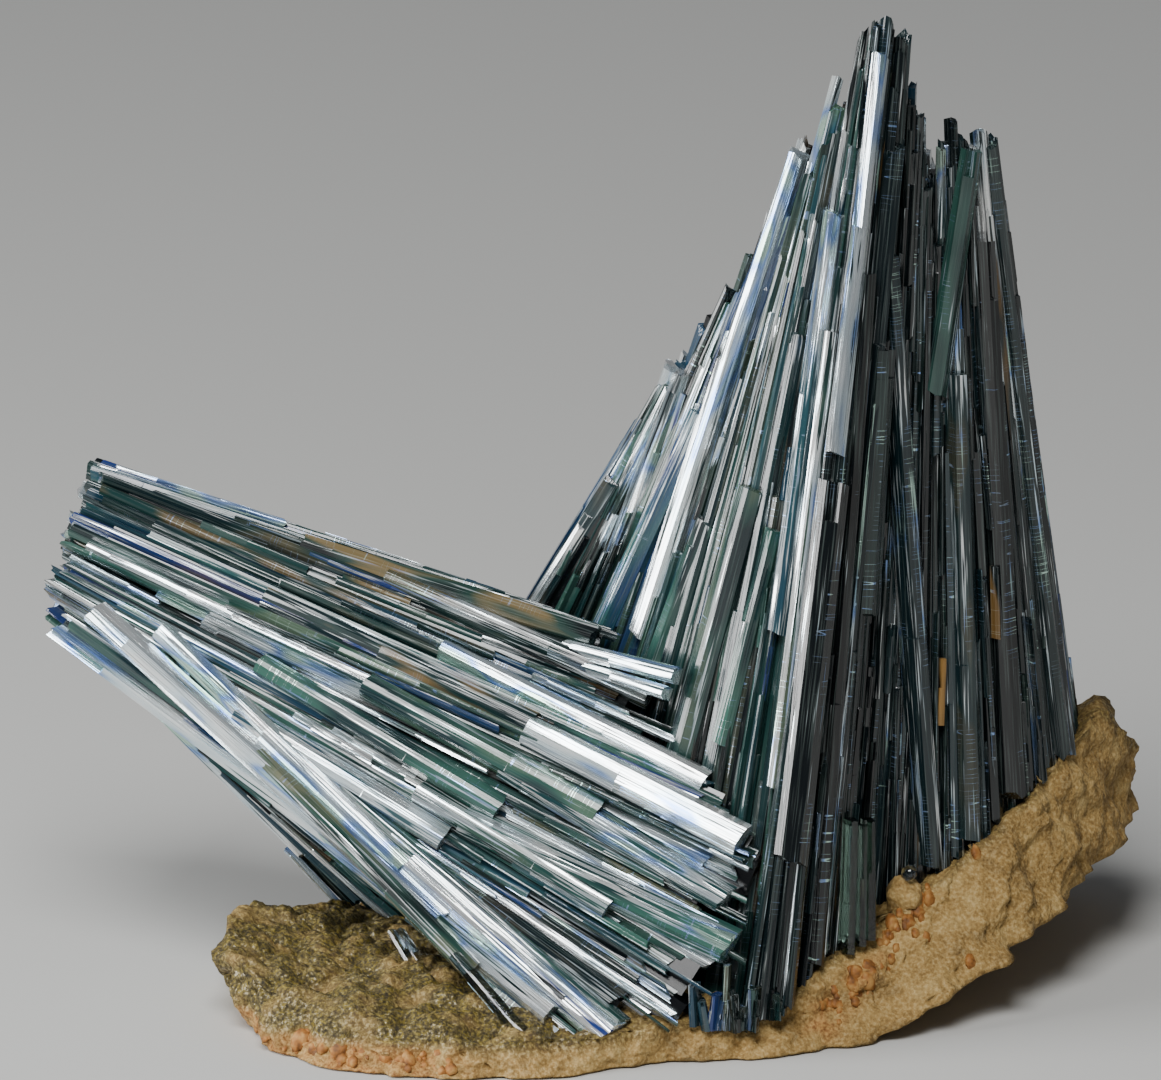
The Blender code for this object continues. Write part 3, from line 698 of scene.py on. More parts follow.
def end_plans(guides, count, seed, latest):
    """Blades inside a spray: only their broken upper ends show, and fill its tip."""
    draw = random.Random(seed)
    tip_middle = sum((Vector(tip) for tip, _ in guides), Vector()) / len(guides)
    foot_middle = sum((Vector(foot) for _, foot in guides), Vector()) / len(guides)
    plans = []
    for _ in range(count):
        line = draw.uniform(0.0, len(guides))
        inward = math.sqrt(draw.random())
        start = draw.uniform(0.0, latest)
        tip = tip_middle.lerp(on_spray(guides, line, 0.0), 0.93 * inward)
        foot = foot_middle.lerp(on_spray(guides, line, 1.0), 0.8 * inward)
        looks = outward(guides, line, 0.1)
        half = draw.uniform(0.5, 1.1)
        traits = (pearly(draw, 0.4), 0.0, 0.1)
        unit = draw.choice(SPLINTERED)
        ends = tip.lerp(foot, start), tip.lerp(foot, 0.4)
        plans.append(Plan(*ends, looks, half, half, unit, traits, draw.random()))
    return plans


# %% [markdown]
# ## Where the traits lie
#
# The lit flank, between guide lines 0 and 5, is pearly above and greener below: partly the blades' own
# lustre and colour, partly painted light, a painted highlight above and painted shade below. The ridge and
# the right flank are near black, with a few grey-blue blades: painted shade for the side turned away from
# the lamps. The leaning spray's front is the most mixed part, with white, green, teal and near-black
# blades side by side. Nothing is known of the backs, so they are a plain mix.

# %% The plans of both sprays


def upright_traits(line, share, draw):
    """How pearly, green and stained a blade is, from where it lies."""
    line = line % len(UPRIGHT_GUIDES)
    if line < 5.0:
        # lit flank: the pearl is partly the blades' own lustre; more of it above and less below is a painted
        # highlight above and painted shade below
        upper = 1.0 - smooth(share, 0.28, 0.64)
        pearl = pearly(draw, 0.05 + 0.70 * upper) * (0.45 + 0.55 * upper)
        green = drawn(draw, 0.42 - 0.17 * upper, 0.3)
        return pearl, green, 0.1 * draw.random() ** 2, draw.uniform(0.8, 1.0)
    # ridge and right flank: little pearl and no green, painted shade for the side turned away from the lamps
    if line > 12.0:
        return pearly(draw, 0.05) * 0.8, drawn(draw, 0.0, 0.08), 0.5 * (draw.random() < 0.03), 0.0
    return pearly(draw, 0.3), drawn(draw, 0.1, 0.25), 0.2 * draw.random() ** 2, 0.5


def leaning_traits(line, share, draw):
    line = line % len(LEANING_GUIDES)
    if line < 1.3:
        return pearly(draw, 0.15), drawn(draw, 0.3, 0.3), 0.7 * draw.random() ** 3
    if line < 6.0:
        near_tip = (1.0 - smooth(share, 0.35, 0.8)) * smooth(line, 1.5, 3.0)
        return pearly(draw, 0.25 + 0.35 * near_tip), drawn(draw, 0.35, 0.35), 0.4 * draw.random() ** 5
    return pearly(draw, 0.3), drawn(draw, 0.1, 0.25), 0.2 * draw.random() ** 2


def deepest(guides, line):
    """Highest tint on this part of a spray: the upright one's ridge and right flank stay near black, painted
    shade for the side turned away from the lamps.
    """
    painted_shade_side = guides is UPRIGHT_GUIDES and not 0.3 < line % len(guides) < 12.0
    return 0.5 if painted_shade_side else 1.0


def spray_plans(guides, outer, thin, traits_at, stops, latest_cut, seed):
    """Plans for all that follows the guide lines: broken-up blades and splinters."""
    draw = random.Random(seed)
    plans = []
    for tip, foot, looks, halves, line in outer:
        for start, stop, facing, wide, deep, unit, share in break_up(tip, foot, looks, halves, draw):
            stop = walk_down(start, start.lerp(stop, 1.0 - draw.uniform(0.0, latest_cut)), stops)
            tint = draw.random() * deepest(guides, line)
            plans.append(Plan(start, stop, facing, wide, deep, unit, traits_at(line, share, draw), tint))
    for tip, foot, looks, wide, deep, unit, line, share in thin:
        foot = walk_down(tip, foot, stops)
        tint = draw.random() * deepest(guides, line)
        plans.append(Plan(tip, foot, looks, wide, deep, unit, traits_at(line, share, draw), tint))
    return [plan for plan in plans if (plan.foot - plan.tip).length > 1.0]


def lines_from(first, span, count):
    return [first + span * i / count for i in range(count)]


# guide lines, seed, lengths, half widths, latest start: all round, then behind the flare, on the upper
# back and between the peaks
UPRIGHT_SPLINTERS = (
    (even_lines(UPRIGHT_GUIDES, 430), 11, (5.0, 28.0), (0.15, 0.5), 0.92),
    (lines_from(6.0, 1.3, 60), 13, (14.0, 40.0), (0.5, 1.0), 0.50),
    (lines_from(8.5, 3.5, 50), 14, (14.0, 40.0), (0.5, 1.0), 0.45),
    (lines_from(13.4, 1.6, 24), 15, (8.0, 24.0), (0.4, 0.8), 0.15),
)
upright_outer = outer_blades(UPRIGHT_GUIDES, UPRIGHT_BLADES, UPRIGHT_SEED, 0.30, (1.02, 1.08))
upright_thin = [blade for row in UPRIGHT_SPLINTERS for blade in splinters(UPRIGHT_GUIDES, *row)]
upright_plans = spray_plans(UPRIGHT_GUIDES, upright_outer, upright_thin, upright_traits, (in_rock,), 0.0, 100)
upright_plans += single_plans(UPRIGHT_GUIDES, UPRIGHT_SINGLES, 21) + end_plans(UPRIGHT_GUIDES, 60, 31, 0.06)
leaning_stops = (in_rock, inside_upright)
leaning_outer = outer_blades(LEANING_GUIDES, LEANING_BLADES, LEANING_SEED, 0.16, (0.93, 1.05))
leaning_thin = splinters(LEANING_GUIDES, even_lines(LEANING_GUIDES, 270), 12, (5.0, 26.0), (0.15, 0.5), 0.92)
leaning_plans = spray_plans(
    LEANING_GUIDES, leaning_outer, leaning_thin, leaning_traits, leaning_stops, 0.07, 200)
leaning_plans += single_plans(LEANING_GUIDES, LEANING_SINGLES, 22) + end_plans(LEANING_GUIDES, 90, 32, 0.05)
print("planned blades:", len(upright_plans), "upright,", len(leaning_plans), "leaning")

# %% [markdown]
# ## Filling behind the blades
#
# Between the thin blades one looks into the dark inside of a spray. It is filled with wedges and broad
# blades like those of the solids, a little smaller and sunk, so that no light comes through, and their
# near-black, nearly glossless finish is painted shade for the spray's inside.

# %% Wedges and broad backing blades
BACKING_SINK = 1.1
BACKING_DROP = 4.0  # how far below its tip a backing blade starts
CORE_DROP, CORE_TIP_SHARE, CORE_FOOT_SHARE = 11.0, 0.5, 0.66
BACKING_SECTION = ((1.0, -1.0), (0.72, 1.0), (-0.72, 1.0), (-1.0, -1.0))


def add_hull(bm, points):
    verts = [bm.verts.new(p) for p in points]
    made = bmesh.ops.convex_hull(bm, input=verts)
    loose = {v for v in made["geom_interior"] + made["geom_unused"] if isinstance(v, bmesh.types.BMVert)}
    bmesh.ops.delete(bm, geom=list(loose), context="VERTS")


def core_points(guides, picked):
    tips = [Vector(guides[i][0]) for i in picked]
    feet = [Vector(guides[i][1]) for i in picked]
    tip_middle = sum(tips, Vector()) / len(tips)
    foot_middle = sum(feet, Vector()) / len(feet)
    drop = (foot_middle - tip_middle).normalized() * CORE_DROP
    points = [tip_middle + (p - tip_middle) * CORE_TIP_SHARE + drop for p in tips]
    return points + [foot_middle + (p - foot_middle) * CORE_FOOT_SHARE for p in feet]


def add_backing_blade(bm, tip, foot, looks, halves):
    along = (foot - tip).normalized()
    out = (looks - along * looks.dot(along)).normalized()
    side = along.cross(out)
    rings = []
    for centre, half in ((tip + along * BACKING_DROP, halves[0]), (foot, halves[1])):
        centre = centre - out * BACKING_SINK
        corners = [centre + side * a * half[0] + out * d * half[1] for a, d in BACKING_SECTION]
        rings.append([bm.verts.new(corner) for corner in corners])
    for i in range(4):
        j = (i + 1) % 4
        bm.faces.new((rings[0][i], rings[0][j], rings[1][j], rings[1][i]))
    bm.faces.new(rings[0])
    bm.faces.new(rings[1])


def add_backing(bm, guides, cores, blades, stops):
    for picked in cores:
        add_hull(bm, core_points(guides, picked))
    for tip, foot, looks, halves, _ in blades:
        add_backing_blade(bm, tip, walk_down(tip, foot, stops), looks, halves)
    bmesh.ops.recalc_face_normals(bm, faces=bm.faces)
    for vert in bm.verts:
        vert.co = (vert.co - MIDDLE) * MM


# %% [markdown]
# ## From plans to one plain mesh
#
# The plans become a cloud of points with named values, the tree turns the cloud into blades, and the
# result is kept as a plain mesh joined with its backing.

# %% Clouds and pieces
TRAITS = ("pearl", "green", "stain", "fade", "tint")


def cloud_of(name, places, vectors, numbers, unit):
    """An object of loose points with a layer of values for each name."""
    mesh = bpy.data.meshes.new(name)
    mesh.from_pydata([(place - MIDDLE) * MM for place in places], [], [])
    for key, values in vectors.items():
        layer = mesh.attributes.new(key, "FLOAT_VECTOR", "POINT")
        layer.data.foreach_set("vector", [c for value in values for c in value])
    for key, values in numbers.items():
        mesh.attributes.new(key, "FLOAT", "POINT").data.foreach_set("value", values)
    mesh.attributes.new("unit", "INT", "POINT").data.foreach_set("value", unit)
    return link_object(name, mesh)


def blade_cloud(name, plans):
    sizes = [Vector((plan.half_width, plan.half_depth, (plan.foot - plan.tip).length)) * MM for plan in plans]
    vectors = {
        "along": [(plan.foot - plan.tip).normalized() for plan in plans],
        "looks": [plan.looks for plan in plans],
        "half": sizes,
    }
    numbers = {key: [getattr(plan, key) for plan in plans] for key in TRAITS}
    return cloud_of(name, [plan.tip for plan in plans], vectors, numbers, [plan.unit for plan in plans])


def grown(name, plans, finish, seed, roll=0.08, backing=None, inside=None):
    """Runs the blade tree over the plans and returns one plain object."""
    tree = blade_tree(finish)
    values = {"Units": unit_blades, "Width": 1.0, "Depth": 1.0, "Roll": roll, "Seed": seed}
    mesh = run_tree(blade_cloud(name, plans), tree, values)
    mesh.name = name
    if backing:
        bm = bmesh.new()
        add_backing(bm, *backing)
        for face in bm.faces:
            face.material_index = 1
        fill = mesh_of(name + "_fill", bm)
        whole = bmesh.new()
        whole.from_mesh(mesh)
        whole.from_mesh(fill)
        whole.to_mesh(mesh)
        whole.free()
        bpy.data.meshes.remove(fill)
    piece = link_object(name, mesh, finish)
    if inside:
        mesh.materials.append(inside)
    print(name, "blades:", len(plans), "faces:", len(mesh.polygons))
    return piece


# %% [markdown]
# ## The finish of vivianite
#
# A blade's broad face reflects like dark glass. Where thin sheets have come apart inside it, it mirrors
# like mother of pearl, so those streaks are made as metal with a bright, slightly blue colour, and
# turn white only where they face a lamp. Along the blade run fine lines, the edges of the sheets;
# across it run short cracks. The pattern follows each blade: the blade's own coordinates, in metres,
# stretch the noise lengthways.

# %% Vivianite
STRIATION = (5200.0, 5200.0, 120.0)  # per metre across, deep and along: lines about 0.2 mm apart
PARTING = (1500.0, 1500.0, 75.0)
PATCH = (420.0, 420.0, 95.0)
CRACK = (50.0, 50.0, 1500.0)
FADE_FROM_TO = (0.24, 0.54)  # shares of a blade's length between which its pearl fades out, painted shade towards the foot
TINT_SHIFT = (0.7, 0.3, 0.9)  # metres by which a tint of 1 moves the pattern
STEP_HEIGHT = 0.00006  # metres, of the steps between a blade's sheets
VIVIANITE_IOR = 1.6


def new_material(name):
    made = bpy.data.materials.new(name)
    made.use_nodes = True
    made.node_tree.nodes.clear()
    return made, made.node_tree


def trait(tree, name, output="Fac"):
    node = add(tree, "ShaderNodeAttribute", attribute_name=name, attribute_type="GEOMETRY")
    return node.outputs[output]


def between(tree, value, low, high, out_low=0.0, out_high=1.0):
    made = add(
        tree, "ShaderNodeMapRange",
        {"Value": value, "From Min": low, "From Max": high, "To Min": out_low, "To Max": out_high},
        clamp=True,
    )
    return made.outputs["Result"]


def mixed(tree, share, a, b):
    return add(tree, "ShaderNodeMix", {0: share, 6: a, 7: b}, data_type="RGBA").outputs[2]


def ramp(tree, value, stops):
    node = add(tree, "ShaderNodeValToRGB", {"Fac": value})
    band = node.color_ramp
    while len(band.elements) < len(stops):
        band.elements.new(0.5)
    for element, (place, colour) in zip(band.elements, stops):
        element.position = place
        element.color = linear(colour)
    return node.outputs["Color"]


def noise_of(tree, space, per_metre, detail=1.0):
    """Noise with this many cells a metre, or this many along each axis."""
    if isinstance(per_metre, float):
        per_metre = (per_metre,) * 3
    spot = vector_of(tree, "MULTIPLY", space, per_metre)
    return add(
        tree, "ShaderNodeTexNoise", {"Vector": spot, "Scale": 1.0, "Detail": detail, "Roughness": 0.6}
    ).outputs["Fac"]


def blade_space(tree):
    """Metres across, deep and along a blade, moved by its tint so that no two blades match."""
    size = vector_of(tree, "MULTIPLY", trait(tree, "grain", "Vector"), trait(tree, "half", "Vector"))
    return vector_of(tree, "ADD", size, scaled(tree, TINT_SHIFT, trait(tree, "tint")))


def bump_of(tree, height, strength, distance):
    made = add(tree, "ShaderNodeBump", {"Height": height, "Strength": strength, "Distance": distance})
    return made.outputs["Normal"]


def close_material(tree, looks, **more):
    """Ends a material in one principled shader with these looks."""
    shader = add(tree, "ShaderNodeBsdfPrincipled", looks)
    add(tree, "ShaderNodeOutputMaterial", {"Surface": shader.outputs[0], **more})


def vivianite():
    made, tree = new_material("vivianite_blades")
    space = blade_space(tree)
    pearl, green, stain, fade, tint = (trait(tree, name) for name in TRAITS)
    down = add(tree, "ShaderNodeSeparateXYZ", {"Vector": trait(tree, "grain", "Vector")}).outputs["Z"]
    # painted shade: the pearl and its streaks fade out towards a blade's foot
    painted_shade_down = math_of(tree, "MULTIPLY", fade, between(tree, down, *FADE_FROM_TO))
    pearl = math_of(tree, "MULTIPLY", pearl, math_of(tree, "SUBTRACT", 1.0, painted_shade_down))
    lines = noise_of(tree, space, STRIATION, 1.0)
    parting = noise_of(tree, space, PARTING, 2.0)
    patch = noise_of(tree, space, PATCH, 1.0)
    crack = noise_of(tree, space, CRACK, 0.0)
    dark = ramp(tree, tint, (
        (0.0, "#07090b"), (0.30, "#0b1518"), (0.55, "#10252a"),
        (0.75, "#163230"), (0.92, "#18344a"), (1.0, "#1d2f66"),
    ))
    # green tint: partly the blades' own green, partly a painted glow for light that passes through thin
    # blades
    green_share = math_of(tree, "MULTIPLY", green, between(tree, patch, 0.35, 0.62))
    fibres = mixed(tree, between(tree, lines, 0.50, 0.68, 0.0, 0.5), dark, linear("#48524f"))
    tinted = mixed(tree, green_share, fibres, linear("#33594e"))
    streaks = math_of(tree, "MULTIPLY_ADD", lines, 0.8, parting)
    streaks = math_of(tree, "MULTIPLY_ADD", painted_shade_down, -0.13, streaks)
    coverage = math_of(tree, "MULTIPLY_ADD", pearl, 0.55, streaks)
    open_sheets = between(tree, coverage, 1.15, 1.27)
    crack_line = math_of(tree, "COMPARE", crack, 0.5, 0.008)
    crack_line = math_of(tree, "MULTIPLY", crack_line, between(tree, patch, 0.56, 0.64))
    open_sheets = math_of(tree, "MAXIMUM", open_sheets, crack_line)
    silver = ramp(tree, patch, (
        (0.35, "#f4f6f5"), (0.55, "#cfdfe6"), (0.62, "#7f9fd6"),
        (0.68, "#b7d4c8"),
    ))
    pale = mixed(tree, open_sheets, tinted, silver)
    rust_share = math_of(tree, "MULTIPLY", stain, between(tree, patch, 0.5, 0.6))
    colour = mixed(tree, rust_share, pale, linear("#86642f"))
    clean = math_of(tree, "SUBTRACT", 1.0, rust_share)
    shine = math_of(tree, "MULTIPLY", open_sheets, math_of(tree, "MULTIPLY", clean, 0.85))
    dull = math_of(tree, "MULTIPLY_ADD", rust_share, 0.45, between(tree, lines, 0.35, 0.65, 0.10, 0.26))
    height = math_of(tree, "MULTIPLY_ADD", parting, 0.9, lines)
    close_material(tree, {
        "Base Color": colour, "Metallic": shine, "Roughness": dull, "IOR": VIVIANITE_IOR,
        "Normal": bump_of(tree, height, 0.75, STEP_HEIGHT),
    })
    return made


def vivianite_inside():
    """The dark mass behind the blades, rough and with next to no gloss: painted shade for the inside of a
    spray.
    """
    made, tree = new_material("vivianite_inside")
    place = add(tree, "ShaderNodeTexCoord").outputs["Object"]
    mottle = noise_of(tree, place, (700.0, 700.0, 250.0), 1.0)
    colour = mixed(tree, between(tree, mottle, 0.4, 0.65), linear("#06090a"), linear("#12211f"))
    close_material(tree, {"Base Color": colour, "Roughness": 0.8, "Specular IOR Level": 0.12})
    return made


# %% [markdown]
# ## Clear vivianite
#
# A few small crystals let light through. They are plain clear glass in the shader with the mineral's
# own refraction and a blue-green absorption, so thick ones look deep green and thin ones nearly clear.

# %% Clear crystals
def clear_vivianite(name, hex_colour, per_metre):
    made, tree = new_material(name)
    lines = noise_of(tree, blade_space(tree), STRIATION, 1.0)
    absorb = add(tree, "ShaderNodeVolumeAbsorption", {"Color": linear(hex_colour), "Density": per_metre})
    looks = {
        "Base Color": linear("#f2f8f6"), "Roughness": 0.06, "IOR": VIVIANITE_IOR,
        "Transmission Weight": 1.0, "Normal": bump_of(tree, lines, 0.4, 0.00004),
    }
    close_material(tree, looks, Volume=absorb.outputs[0])
    return made


# %% Grow both sprays
vivianite_finish, inside_shade_finish = vivianite(), vivianite_inside()
upright = grown(
    "upright_blades", upright_plans, vivianite_finish, 1,
    backing=(UPRIGHT_GUIDES, UPRIGHT_CORES, upright_outer, (in_rock,)), inside=inside_shade_finish,
)
leaning = grown(
    "leaning_blades", leaning_plans, vivianite_finish, 2,
    backing=(LEANING_GUIDES, LEANING_CORES, leaning_outer, leaning_stops), inside=inside_shade_finish,
)
for piece, node in ((upright, "upright_spray"), (leaning, "leaning_spray")):
    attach(piece, "root")
    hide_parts(node)

# %% [markdown]
# ## Small crystals
#
# A glassy rod goes on from the leaning spray to the rock's front edge, two slim rods bridge the gap to
# the upright spray, and short crystals crowd round the foot of the ridge. A green see-through stub
# stands before the dark flank, and a pale crystal leans on the lumps at the left.

# %% Rods, stubs and single crystals
LOW_ROD = (Vector((-13.5, -21.0, 9.5)), Vector((-5.6, -27.6, 2.0)))
CROSS_RODS = (
    (Vector((-2.5, -3.5, 36.5)), Vector((8.6, -12.0, 36.0)), 0.9),
    (Vector((-1.5, -4.5, 35.0)), Vector((7.6, -12.8, 34.4)), 0.7),
)
RIDGE_STUBS = (
    (10.6, -25.0, 8.2, 0.9),
    (12.0, -25.6, 8.8, 0.9),
    (13.3, -25.2, 9.4, 0.8),
    (14.6, -25.4, 8.4, 1.0),
    (16.1, -24.9, 9.2, 0.9),
    (18.6, -23.6, 7.0, 0.9),
)
STUB_CRYSTAL = (Vector((27.0, -12.9, 22.0)), Vector((26.8, -14.0, 6.0)))
SMALL_CRYSTAL = (Vector((-19.6, -10.0, 9.0)), Vector((-16.2, -14.0, 4.5)))
STUB_LOOKS = Vector((0.3, -0.95, 0.1))
SMALL_LOOKS = Vector((-0.3, -0.7, 0.7))


def low_rod_plans():
    looks = Vector((-0.3, -0.9, 0.4)).normalized()
    return [Plan(LOW_ROD[0], LOW_ROD[1], looks, 0.9, 0.9, SMOOTH[0], (0.2, 0.3, 0.0), 0.4)]


def cross_rod_plans():
    looks = Vector((-0.45, -0.8, 0.4)).normalized()
    return [
        Plan(tip, foot, looks, half, 0.8, SMOOTH[1], (0.75, 0.0, 0.0), 0.8)
        for tip, foot, half in CROSS_RODS
    ]


def ridge_foot_plans():
    draw = random.Random(51)
    plans = []
    for i, (x, y, height, half) in enumerate(RIDGE_STUBS):
        for k in range(3):
            shift = Vector(((k - 1) * 0.5 * half, 0.3 * k, -draw.uniform(0.0, 3.6)))
            tip = Vector((x + draw.uniform(-0.8, 1.0), y + 1.3, height)) + shift
            foot = walk_down(tip, Vector((x, y + 1.3, 0.5)), (in_rock,))
            looks = Vector((draw.uniform(-0.4, 0.4), -1.0, 0.0)).normalized()
            unit = draw.choice(SMOOTH + SPLINTERED)
            traits = (draw.uniform(0.0, 0.35), 0.1, 0.15 * draw.random())
            plans.append(Plan(tip, foot, looks, 0.6 * half, 1.2, unit, traits, draw.random()))
    return plans


def bundle(ends, looks, half, count, seed, traits):
    """A few blades side by side that make up one short crystal."""
    draw = random.Random(seed)
    tip, foot = ends
    side = (foot - tip).normalized().cross(looks).normalized()
    plans = []
    for k in range(count):
        u = (2.0 * k + 1.0) / count - 1.0
        start = tip.lerp(foot, draw.uniform(0.0, 0.10)) + side * u * half * 0.8
        stop = walk_down(start, foot + side * u * half, (in_rock,))
        facing = (looks + side * draw.uniform(-0.15, 0.15)).normalized()
        wide, unit = 1.3 * half / count, draw.choice(SMOOTH)
        plans.append(Plan(start, stop, facing, wide, 1.1, unit, traits, draw.random()))
    return plans


glass_green = clear_vivianite("clear_green_vivianite", "#2f7f62", 900.0)
glass_rod = clear_vivianite("clear_teal_vivianite", "#5f8f9f", 900.0)
glass_pale = clear_vivianite("clear_pale_vivianite", "#8fb6d8", 300.0)
low_rod = grown("clear_rod", low_rod_plans(), glass_rod, 3, roll=0.02)
slim = grown("slim_crystals", ridge_foot_plans() + cross_rod_plans(), vivianite_finish, 4)
stub_blades = bundle(STUB_CRYSTAL, STUB_LOOKS, 1.7, 3, 61, (0.1, 0.8, 0.0))
stub = grown("green_stub", stub_blades, glass_green, 5, roll=0.02)
small_blades = bundle(SMALL_CRYSTAL, SMALL_LOOKS, 0.9, 2, 62, (0.7, 0.0, 0.0))
small = grown("pale_crystal", small_blades, glass_pale, 6, roll=0.02)
for piece in (low_rod, slim, stub, small):
    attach(piece, "root")
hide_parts("stub_crystal")
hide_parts("small_crystal")

remove_units(unit_blades)

# %% [markdown]
# ## The ironstone
#
# The rock is a slab of sandy ironstone, broken all round. Its skin on the left is a crust of olive-brown
# lumps, 3 to 4 mm across, each studded with smaller ones. The broken edge is granular, with pits and
# orange pods where ferric phosphate has filled holes. The body follows the solids' outline and heights
# and adds relief down to about half a millimetre.

# %% The rock's body
STATIONS = 600
WALL_STEPS = 20
OUTER_STEPS, INNER_STEPS = 78, 8
INNER_START, INNER_END = 0.42, 0.03
FOOT_SHARES = (0.05, 0.40, 0.93)
FINE_LUMP_PITCH, FINE_LUMP_HEIGHT = 1.7, 0.75
PIT_PITCH, PIT_DEPTH = 2.6, 0.55
POD_SEAM = (Vector((23.0, -20.8, 2.2)), Vector((33.5, -11.5, 12.5)))


def domes(x, y, pitch, height):
    near = noise.voronoi(Vector((x / pitch, y / pitch, 0.0)))[0][0]
    return height * math.sqrt(max(0.0, 1.0 - (near / 0.75) ** 2))


def lumps(x, y):
    """Rounded growth lumps on the left part of the top; they fade out under the crystals."""
    fade = 1.0 - smooth(x, -14.0, -2.0)
    return domes(x, y, LUMP_PITCH, LUMP_HEIGHT) * fade


def fine_relief(x, y, z):
    """Small lumps at the left, sand grains everywhere."""
    fade = 1.0 - smooth(x, -8.0, 6.0)
    grains = rough(x, y, z, 1.1, 0.28) + rough(x, y, z, 0.55, 0.16)
    return domes(x, y, FINE_LUMP_PITCH, FINE_LUMP_HEIGHT) * fade + grains


def pits(x, y, z):
    near = noise.voronoi(Vector((x, y, z)) / PIT_PITCH)[0][0]
    return PIT_DEPTH * (1.0 - smooth(near, 0.12, 0.34))


def wall_ring(edge, up):
    ring = []
    for bottom_x, bottom_y, top_x, top_y in edge:
        x, y = bottom_x + (top_x - bottom_x) * up, bottom_y + (top_y - bottom_y) * up
        low, high = rock_bottom(x), rock_top(x, y) + lumps(x, y) * 0.6
        z = low + (max(high, low + 1.0) - low) * up
        push = rough(x, y, z, 4.0, 1.5) + rough(x, y, z, 1.7, 0.6)
        inner = smooth(up, 0.0, 0.12)
        push += (rough(x, y, z, 0.9, 0.45) + rough(x, y, z, 0.5, 0.2) - pits(x, y, z)) * inner
        away = (Vector((x, y, 0.0)) - ROCK_CENTRE).normalized()
        ring.append(Vector((x, y, z)) + away * push)
    return ring


def cover_ring(edge, share):
    ring = []
    for _, _, top_x, top_y in edge:
        spot = ROCK_CENTRE.lerp(Vector((top_x, top_y, 0.0)), share)
        uneven = rough(spot.x, spot.y, 0.0, 5.0, 0.9) * smooth(share, 0.3, 0.9)
        level = rock_top(spot.x, spot.y) + lumps(spot.x, spot.y) + uneven
        fade = smooth(share, 0.2, 0.5) * (1.0 - smooth(share, 0.985, 1.0))
        level += fine_relief(spot.x, spot.y, 0.0) * fade
        ring.append(Vector((spot.x, spot.y, level)))
    return ring


def foot_ring(edge, share):
    ring = []
    for bottom_x, bottom_y, _, _ in edge:
        spot = ROCK_CENTRE.lerp(Vector((bottom_x, bottom_y, 0.0)), share)
        ring.append(Vector((spot.x, spot.y, rock_bottom(spot.x))))
    return ring


def off_seam(point):
    """How far a place on the rock is from the line of orange pods at the right."""
    start, stop = POD_SEAM
    run = stop - start
    share = clamp((point - start).dot(run) / run.length_squared, 0.0, 1.0)
    return (point - start - run * share).length


def crust_at(point):
    """1 on the olive crust: the left part of the top, and a thinner skin on the rest of it."""
    left = 1.0 - smooth(point.x, -2.0, 12.0)
    upper = smooth(point.z, 1.2, 3.2)
    on_top = smooth(point.z - rock_top(point.x, point.y), -1.2, -0.3)
    patchy = clamp(1.0 + rough(point.x, point.y, point.z, 3.0, 0.9), 0.0, 1.0)
    return max(left * upper, 0.6 * on_top) * patchy


def orange_at(point):
    """1 in the orange layers: low at the left front, and along the seam of pods at the right."""
    low_left = (1.0 - smooth(point.x, -19.0, -8.0)) * (1.0 - smooth(point.z, 1.6, 3.0)) * (point.y < -8.0)
    seam = 1.0 - smooth(off_seam(point), 0.6, 3.0)
    blotch = clamp(0.6 + rough(point.x, point.y, point.z, 1.6, 1.4), 0.0, 1.0)
    return max(low_left, seam) * blotch


def rock_mesh():
    edge = rock_edge(STATIONS)
    rings = [foot_ring(edge, share) for share in FOOT_SHARES]
    rings += [wall_ring(edge, step / WALL_STEPS) for step in range(WALL_STEPS + 1)]
    shares = [1.0 - (1.0 - INNER_START) * (step + 1) / OUTER_STEPS for step in range(OUTER_STEPS)]
    inner = (INNER_START - INNER_END) / INNER_STEPS
    shares += [INNER_START - inner * (step + 1) for step in range(INNER_STEPS)]
    rings += [cover_ring(edge, share) for share in shares]
    points = [p for ring in rings for p in ring]
    faces = []
    for k in range(len(rings) - 1):
        for i in range(STATIONS):
            j = (i + 1) % STATIONS
            faces.append((k * STATIONS + i, k * STATIONS + j, (k + 1) * STATIONS + j, (k + 1) * STATIONS + i))
    faces.append(tuple(reversed(range(STATIONS))))
    last = (len(rings) - 1) * STATIONS
    faces.append(tuple(last + i for i in range(STATIONS)))
    mesh = bpy.data.meshes.new("ironstone_body")
    mesh.from_pydata([(p - MIDDLE) * MM for p in points], [], faces)
    for name, rule in (("crust", crust_at), ("orange", orange_at)):
        layer = mesh.attributes.new(name, "FLOAT", "POINT")
        layer.data.foreach_set("value", [rule(p) for p in points])
    mesh.polygons.foreach_set("use_smooth", [True] * len(mesh.polygons))
    return mesh


# %% [markdown]
# ## The finish of the ironstone
#
# Up close it is sand-sized grains of tan, ochre and brown. The olive crust glitters, because its
# surface is fine crystals: small spots of low roughness do that. The orange parts are powdery.

# %% Ironstone
BEADS_PER_METRE = 1300.0  # crystals of the crust, about 0.8 mm apart


